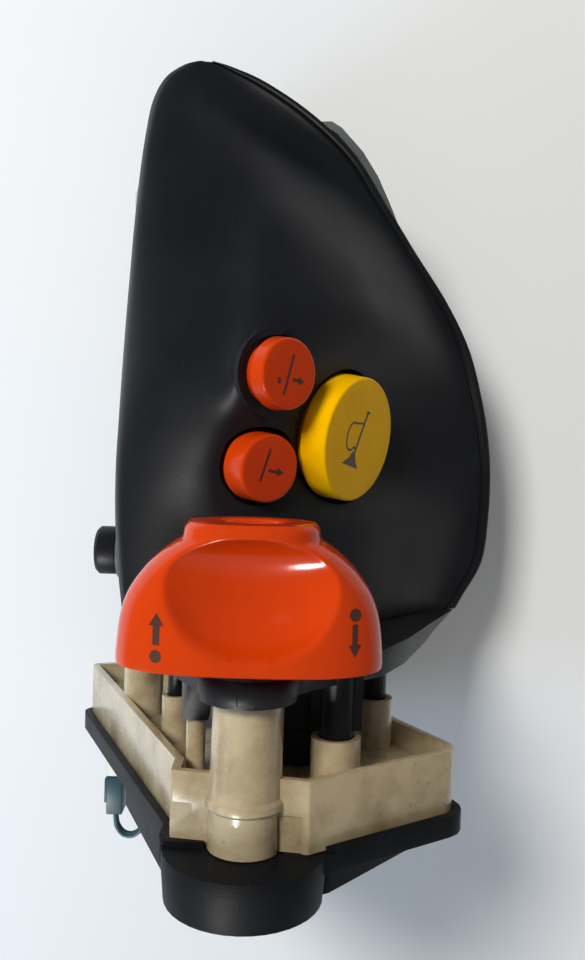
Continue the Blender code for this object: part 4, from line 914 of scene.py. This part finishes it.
# ---- rocker
@dataclass
class Rocker:
    """Two-winged thumb rocker with its dish, its cap and the arrows on its wings."""

    bench: Bench
    half_width: float = 0.0325
    half_depth: float = 0.0185
    squareness: float = 2.7
    # the thumb dish: its middle's X, how far out that lies, its depth and height, how far it
    # reaches down, up and to each side, how full it is both ways, and how it widens upwards
    dish_side: float = 0.0010
    dish_out: float = 0.0240
    dish_deep: float = 0.0155
    dish_rise: float = 0.0172
    dish_down: float = 0.0146
    dish_up: float = 0.0166
    dish_waist: float = 0.0214
    dish_down_power: float = 2.0
    dish_up_power: float = 2.5
    dish_flare: float = 42.0
    flare_from: float = 0.009
    softness: float = 0.0008
    recess: float = 0.0073
    recess_depth: float = 0.0052
    # the recess's rim: distance outside it, height over the top
    recess_rim: tuple[Pair, ...] = (
        (0.0050, 0.0), (0.0010, 0.0), (0.0003, -0.0003), (0.0, -0.0010))
    web: float = 0.0032
    screw_bore: float = 0.0019
    shaft_bore: float = 0.0043
    print_height: float = 0.00007
    around: int = 192
    arrow_stem: float = 0.43        # stem's width against the head's
    arrow_dot: Pair = (0.00135, 0.00145)
    stamp_reach: Pair = (-0.03, -0.004)     # the Y that the print is cut between
    # each arrow's X and half width, then the heights of its tip, wings, tail and dot
    arrows: tuple[tuple[float, ...], ...] = (
        (-0.0209, 0.0018, 0.0140, 0.0112, 0.0068, 0.0042),
        (0.0248, 0.0015, 0.0049, 0.0077, 0.0124, 0.0145))
    # height above the foot, width and depth as shares
    levels: tuple[tuple[float, float, float], ...] = (
        (0.0, 0.965, 0.955), (0.0004, 0.985, 0.985), (0.0015, 1.0, 1.0),
        (0.0110, 0.974, 0.975), (0.0175, 0.912, 0.950), (0.0230, 0.800, 0.920),
        (0.0270, 0.680, 0.890), (0.0295, 0.575, 0.855), (0.0308, 0.522, 0.835),
        (0.0332, 0.505, 0.815), (0.0345, 0.475, 0.770))

    def __post_init__(self) -> None:
        """Reads where the knob's foot and top lie."""
        low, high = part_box("butterfly_knob")
        self.foot = low[2]
        self.top = high[2]

    def build(self) -> None:
        """Makes the knob, the cap over its screw and the arrows."""
        knob = self._knob("thumb_rocker", 0.0)
        swollen = self._knob("swollen", self.print_height)
        self._arrows(knob, swollen)
        self.bench.done(knob, Look.RED, "rocker", ["butterfly_knob"], 50.0)
        self.bench.refine("knob_cap", 0.0003, Look.RED, "rocker", 3)

    def _front(self, x: float, y: float, z: float) -> float:
        """Draws a point of the outer surface in where the thumb dish lies.

        Args:
            x: its X.
            y: its Y on the plain outer surface.
            z: its height above the foot.

        Returns:
            The new Y.
        """
        lift = z - self.dish_rise
        waist = self.dish_waist + self.dish_flare * max(z - self.flare_from, 0.0) ** 2
        reach, power = self.dish_down, self.dish_down_power
        if lift > 0.0:
            reach, power = self.dish_up, self.dish_up_power
        inside = 1.0 - ((x - self.dish_side) / waist) ** 2 - (abs(lift) / reach) ** power
        if inside <= 0.0:
            return y
        return soft_max(y, -self.dish_out + self.dish_deep * math.sqrt(inside), self.softness)

    def _square(self, share: float) -> float:
        """Fills out a sine or cosine, which turns a round outline squarish."""
        return math.copysign(abs(share) ** (2.0 / self.squareness), share)

    def _knob(self, name: str, swell: float) -> Piece:
        """Makes the knob as rings from its foot over the outside and down through its bore.

        Args:
            name: the new object's name.
            swell: how far its outside stands out further.

        Returns:
            The new object.
        """
        turn = [math.tau * i / self.around for i in range(self.around)]
        levels = [Vector(level) for level in self.levels]
        places = sorted({0.0, 0.5, 1.0, 1.5} | {2.0 + 0.1 * k for k in range(81)})
        loops = []
        for place in places:
            height, wide, deep = spline(levels, place)
            loop = []
            for a in turn:
                x, y = math.cos(a), math.sin(a)
                ahead = y < 0.0
                if ahead:
                    x, y = self._square(x), self._square(y)
                x *= self.half_width * wide + swell
                y *= self.half_depth * deep + swell
                if ahead:
                    y = self._front(x, y, height) - swell
                loop.append(Vector((x, y, self.foot + height)))
            loops.append(loop)
        floor = self.top - self.recess_depth
        shaft_top = floor - self.web
        rim = [(self.recess + out, self.top + rise) for out, rise in self.recess_rim]
        loops += [circle(radius, height, self.around) for radius, height in (
            *rim, (self.recess, floor), (self.screw_bore, floor), (self.screw_bore, shaft_top),
            (self.shaft_bore, shaft_top), (self.shaft_bore, self.foot))]
        return self.bench.rings(name, loops, joined=True)

    def _arrows(self, knob: Piece, swollen: Piece) -> None:
        """Prints an arrow with a dot on each wing.

        Args:
            knob: the finished knob.
            swollen: a slightly larger one, whose skin gives the print its thickness.
        """
        shapes = []
        across, up = self.arrow_dot
        for x, wide, tip, wing, tail, dot in self.arrows:
            thin = wide * self.arrow_stem
            for outline in ([(x - wide, wing), (x + wide, wing), (x, tip)],
                            [(x - thin, tail), (x + thin, tail), (x + thin, wing),
                             (x - thin, wing)],
                            [(x + across * math.cos(a), dot + up * math.sin(a))
                             for a in [math.tau * i / 24 for i in range(24)]]):
                shapes.append(self.bench.rings("shape", [
                    [Vector((px, y, self.foot + pz)) for px, pz in outline]
                    for y in self.stamp_reach]))
        stamp = shapes[0]
        for shape in shapes[1:]:
            self.bench.combine(stamp, shape)
        self.bench.combine(stamp, swollen, "INTERSECT")
        self.bench.combine(stamp, self.bench.link("twin", knob.data.copy()), "DIFFERENCE")
        stamp.name = "wing_arrows"
        self.bench.done(stamp, Look.PRINT, "rocker")


# ---- housing below
@dataclass
class Base:
    """Tray housing, lower casing and the short lead under the flange."""

    bench: Bench
    corner: Pair = (-0.0188, 0.0008)
    front_run: Pair = (0.0346, -0.0054)
    # how far along the front each recess begins and ends, and its ceiling
    recesses: tuple[tuple[float, float, float], ...] = ((-0.002, 0.0056, 0.0236),
                                                        (0.0270, 0.0333, 0.0226))
    recess_depth: float = 0.0005
    wire: float = 0.00072
    wire_sides: int = 16
    wire_steps: int = 6
    spacing: float = 0.0024
    exit: Point = (-0.0350, 0.0840, 0.0054)
    plug: Point = (-0.0484, 0.0880, -0.0161)
    # how the wires hang, from their exit, and how they rise into the plug, from its foot
    sag: tuple[Point, ...] = (
        (0.0, 0.0, 0.0), (0.0, 0.0, -0.005), (-0.0002, 0.0002, -0.0110),
        (-0.0012, 0.0010, -0.0190), (-0.0035, 0.0020, -0.0255), (-0.0070, 0.0030, -0.0290),
        (-0.0105, 0.0036, -0.0290))
    rise: tuple[Point, ...] = ((0.0006, 0.0, -0.0050), (0.0, 0.0, -0.0018), (0.0, 0.0, 0.0))

    def build(self) -> None:
        """Makes the lead first, then the tray and the casing."""
        self._lead()
        self._tray()
        self.bench.refine("lower_casing", 0.0007, Look.CASING, segments=3)
        self.bench.refine("lead_socket", 0.0003, Look.WHITE)

    def _tray(self) -> None:
        """Rounds the tray and sets back the panels beside its tube."""
        tray = self.bench.copy("tray_housing")
        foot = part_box("tray_housing")[0][2]
        run = Vector((*self.front_run, 0.0))
        turn = math.atan2(run.y, run.x)
        for start, end, ceiling in self.recesses:
            middle = Vector((*self.corner, 0.0)) + run.normalized() * (start + end) / 2
            middle.z = (foot + ceiling) / 2 - MM
            place = (Matrix.Translation(middle) @ Matrix.Rotation(turn, 4, "Z")
                     @ Matrix.Translation((0.0, (self.recess_depth - MM) / 2, 0.0)))
            size = (end - start, self.recess_depth + MM, ceiling - foot)
            self.bench.combine(tray, self.bench.block(size, place), "DIFFERENCE")
        self.bench.bevel(tray, 0.0005)
        self.bench.done(tray, Look.BEIGE, "housing", ["tray_housing"])

    def _lead(self) -> None:
        """Makes the two wires as round tubes along their paths, and the plug they end in."""
        plug = self.bench.refine("lead_connector", 0.0004, Look.TEAL)
        for number, side in enumerate((-1, 1), 1):
            shift = (0.0, side * self.spacing / 2, 0.0)
            net = [Vector(tuple(map(sum, zip(base, step, shift))))
                   for base, steps in ((self.exit, self.sag), (self.plug, self.rise))
                   for step in steps]
            count = self.wire_steps * (len(net) - 1)
            path = [spline(net, i / self.wire_steps) for i in range(count + 1)]
            cord = self._tube("lead_cord_%d" % number, path)
            length = sum((b - a).length for a, b in zip(path, path[1:]))
            self.bench.done(cord, Look.TEAL, "housing", ["lead_wire_%d" % number], 60.0)

    def _tube(self, name: str, path: Sequence[Vector]) -> Piece:
        """Makes a round wire along a path.

        Args:
            name: the new object's name.
            path: its points.

        Returns:
            The wire.
        """
        side = Vector((0.0, 1.0, 0.0))
        loops = []
        for i, point in enumerate(path):
            run = (path[min(i + 1, len(path) - 1)] - path[max(i - 1, 0)]).normalized()
            first = (side - run * side.dot(run)).normalized()
            second = run.cross(first)
            loops.append([point + (first * math.cos(a) + second * math.sin(a)) * self.wire
                          for a in [math.tau * k / self.wire_sides
                                    for k in range(self.wire_sides)]])
        return self.bench.rings(name, loops)


# ---- studio
@dataclass
class Studio:
    """Pale wall behind the head, floor below, window light from the left, and the camera."""

    wall_y: float = 0.136
    floor_z: float = -0.62
    reach: float = 1.6
    wall_colour: Colour = (0.81, 0.815, 0.81)
    wall_roughness: float = 0.9
    wall_specular: float = 0.1
    room_colour: Colour = (0.97, 0.98, 1.0)
    room_strength: float = 0.18
    aim: Point = (0.0, 0.03, 0.09)
    # each lamp's name, place, size, power and colour
    lamps: tuple[tuple[str, Point, float, float, Colour], ...] = (
        ("window", (-0.24, -0.46, -0.42), 0.105, 5.0, (1.0, 0.98, 0.95)),
        ("room", (-0.52, -1.00, 0.72), 0.36, 15.6, (1.0, 0.985, 0.96)),
        ("sky", (-0.50, -0.22, -0.14), 0.20, 1.5, (0.52, 0.72, 1.0)))
    eye: Point = (0.0093, -0.220, 0.1107)
    lens: float = 33.75
    sensor: float = 36.0
    roll: float = 1.7
    tilt: float = 1.91

    def build(self) -> None:
        """Makes the wall, the floor, the lamps and the camera."""
        self._camera()
        self._wall()
        self._lamps()

    def _wall(self) -> None:
        """Adds the wall and the floor, which aren't part of the head."""
        for name, place, turn in (("wall", (0, self.wall_y, 0), (math.radians(90), 0, 0)),
                                  ("floor", (0, 0, self.floor_z), (0, 0, 0))):
            bpy.ops.mesh.primitive_plane_add(size=2 * self.reach, location=place, rotation=turn)
            sheet = bpy.context.object
            sheet.name = name
            bpy.ops.object.transform_apply(location=True, rotation=True, scale=True)
            sheet.data.materials.append(self._paper(name))

    def _paper(self, name: str) -> bpy.types.Material:
        """Makes matt white that is clear from behind.

        Args:
            name: the sheet that it covers.

        Returns:
            The new material.
        """
        graph = Graph(name + "_paper")
        graph.fix({"Base Color": (*self.wall_colour, 1.0), "Roughness": self.wall_roughness,
                   "Specular IOR Level": self.wall_specular})
        clear = graph.node("ShaderNodeBsdfTransparent", {}, {})
        side = graph.node("ShaderNodeNewGeometry", {}, {}, "Backfacing")
        mixed = graph.node("ShaderNodeMixShader", {},
                           {0: side, 1: Value(graph, graph.shader.outputs[0]), 2: clear})
        graph.feed(graph.tree.nodes["Material Output"].inputs["Surface"], mixed)
        return graph.material

    def _lamps(self) -> None:
        """Adds the window light, two soft lamps that nothing mirrors, and a pale world."""
        for name, place, size, power, colour in self.lamps:
            bpy.ops.object.light_add(type="AREA", location=place)
            lamp = bpy.context.object
            lamp.name = name
            lamp.data.size = size
            lamp.data.energy = power
            lamp.data.color = colour
            lamp.visible_glossy = name == "window"
            lamp.visible_diffuse = name != "window"
            way = Vector(self.aim) - Vector(place)
            lamp.rotation_euler = way.to_track_quat("-Z", "Y").to_euler()
        world = bpy.data.worlds.new("pale_room")
        world.use_nodes = True
        sky = world.node_tree.nodes["Background"]
        sky.inputs["Color"].default_value = (*self.room_colour, 1.0)
        sky.inputs["Strength"].default_value = self.room_strength
        bpy.context.scene.world = world
        bpy.context.scene.view_settings.view_transform = "Standard"

    def _camera(self) -> None:
        """Adds the camera: just above the rocker, looking slightly down."""
        bpy.ops.object.camera_add(location=self.eye)
        camera = bpy.context.object
        camera.data.sensor_fit = "VERTICAL"
        camera.data.sensor_height = self.sensor
        camera.data.lens = self.lens
        camera.data.clip_start = 0.01
        camera.rotation_euler = (math.radians(90.0 - self.tilt), 0.0, 0.0)
        lean = Matrix.Rotation(math.radians(self.roll), 4, "Z")
        camera.matrix_world = camera.matrix_basis @ lean
        bpy.context.scene.camera = camera


def paint_nodes(bench: Bench) -> None:
    """Gives every CAD node its finish.

    Args:
        bench: the bench that holds the frame.
    """
    for part in bench.frame["record"]["subparts"]:
        mesh = bench.frame["nodes"][part["node"]].data
        mesh.materials.clear()
        mesh.materials.append(bench.palette.by_slot(part["material_slot"]))


def main() -> None:
    """Builds the studio and every piece."""
    logging.basicConfig(level=logging.INFO)
    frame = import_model()
    bpy.ops.object.select_all(action="DESELECT")
    Studio().build()
    bench = Bench(frame)
    paint_nodes(bench)
    for part in (Base(bench), HandShell(bench), PushButtons(bench), Rocker(bench)):
        part.build()
        log.info("built %s", type(part).__name__)


if __name__ == "__main__":
    main()
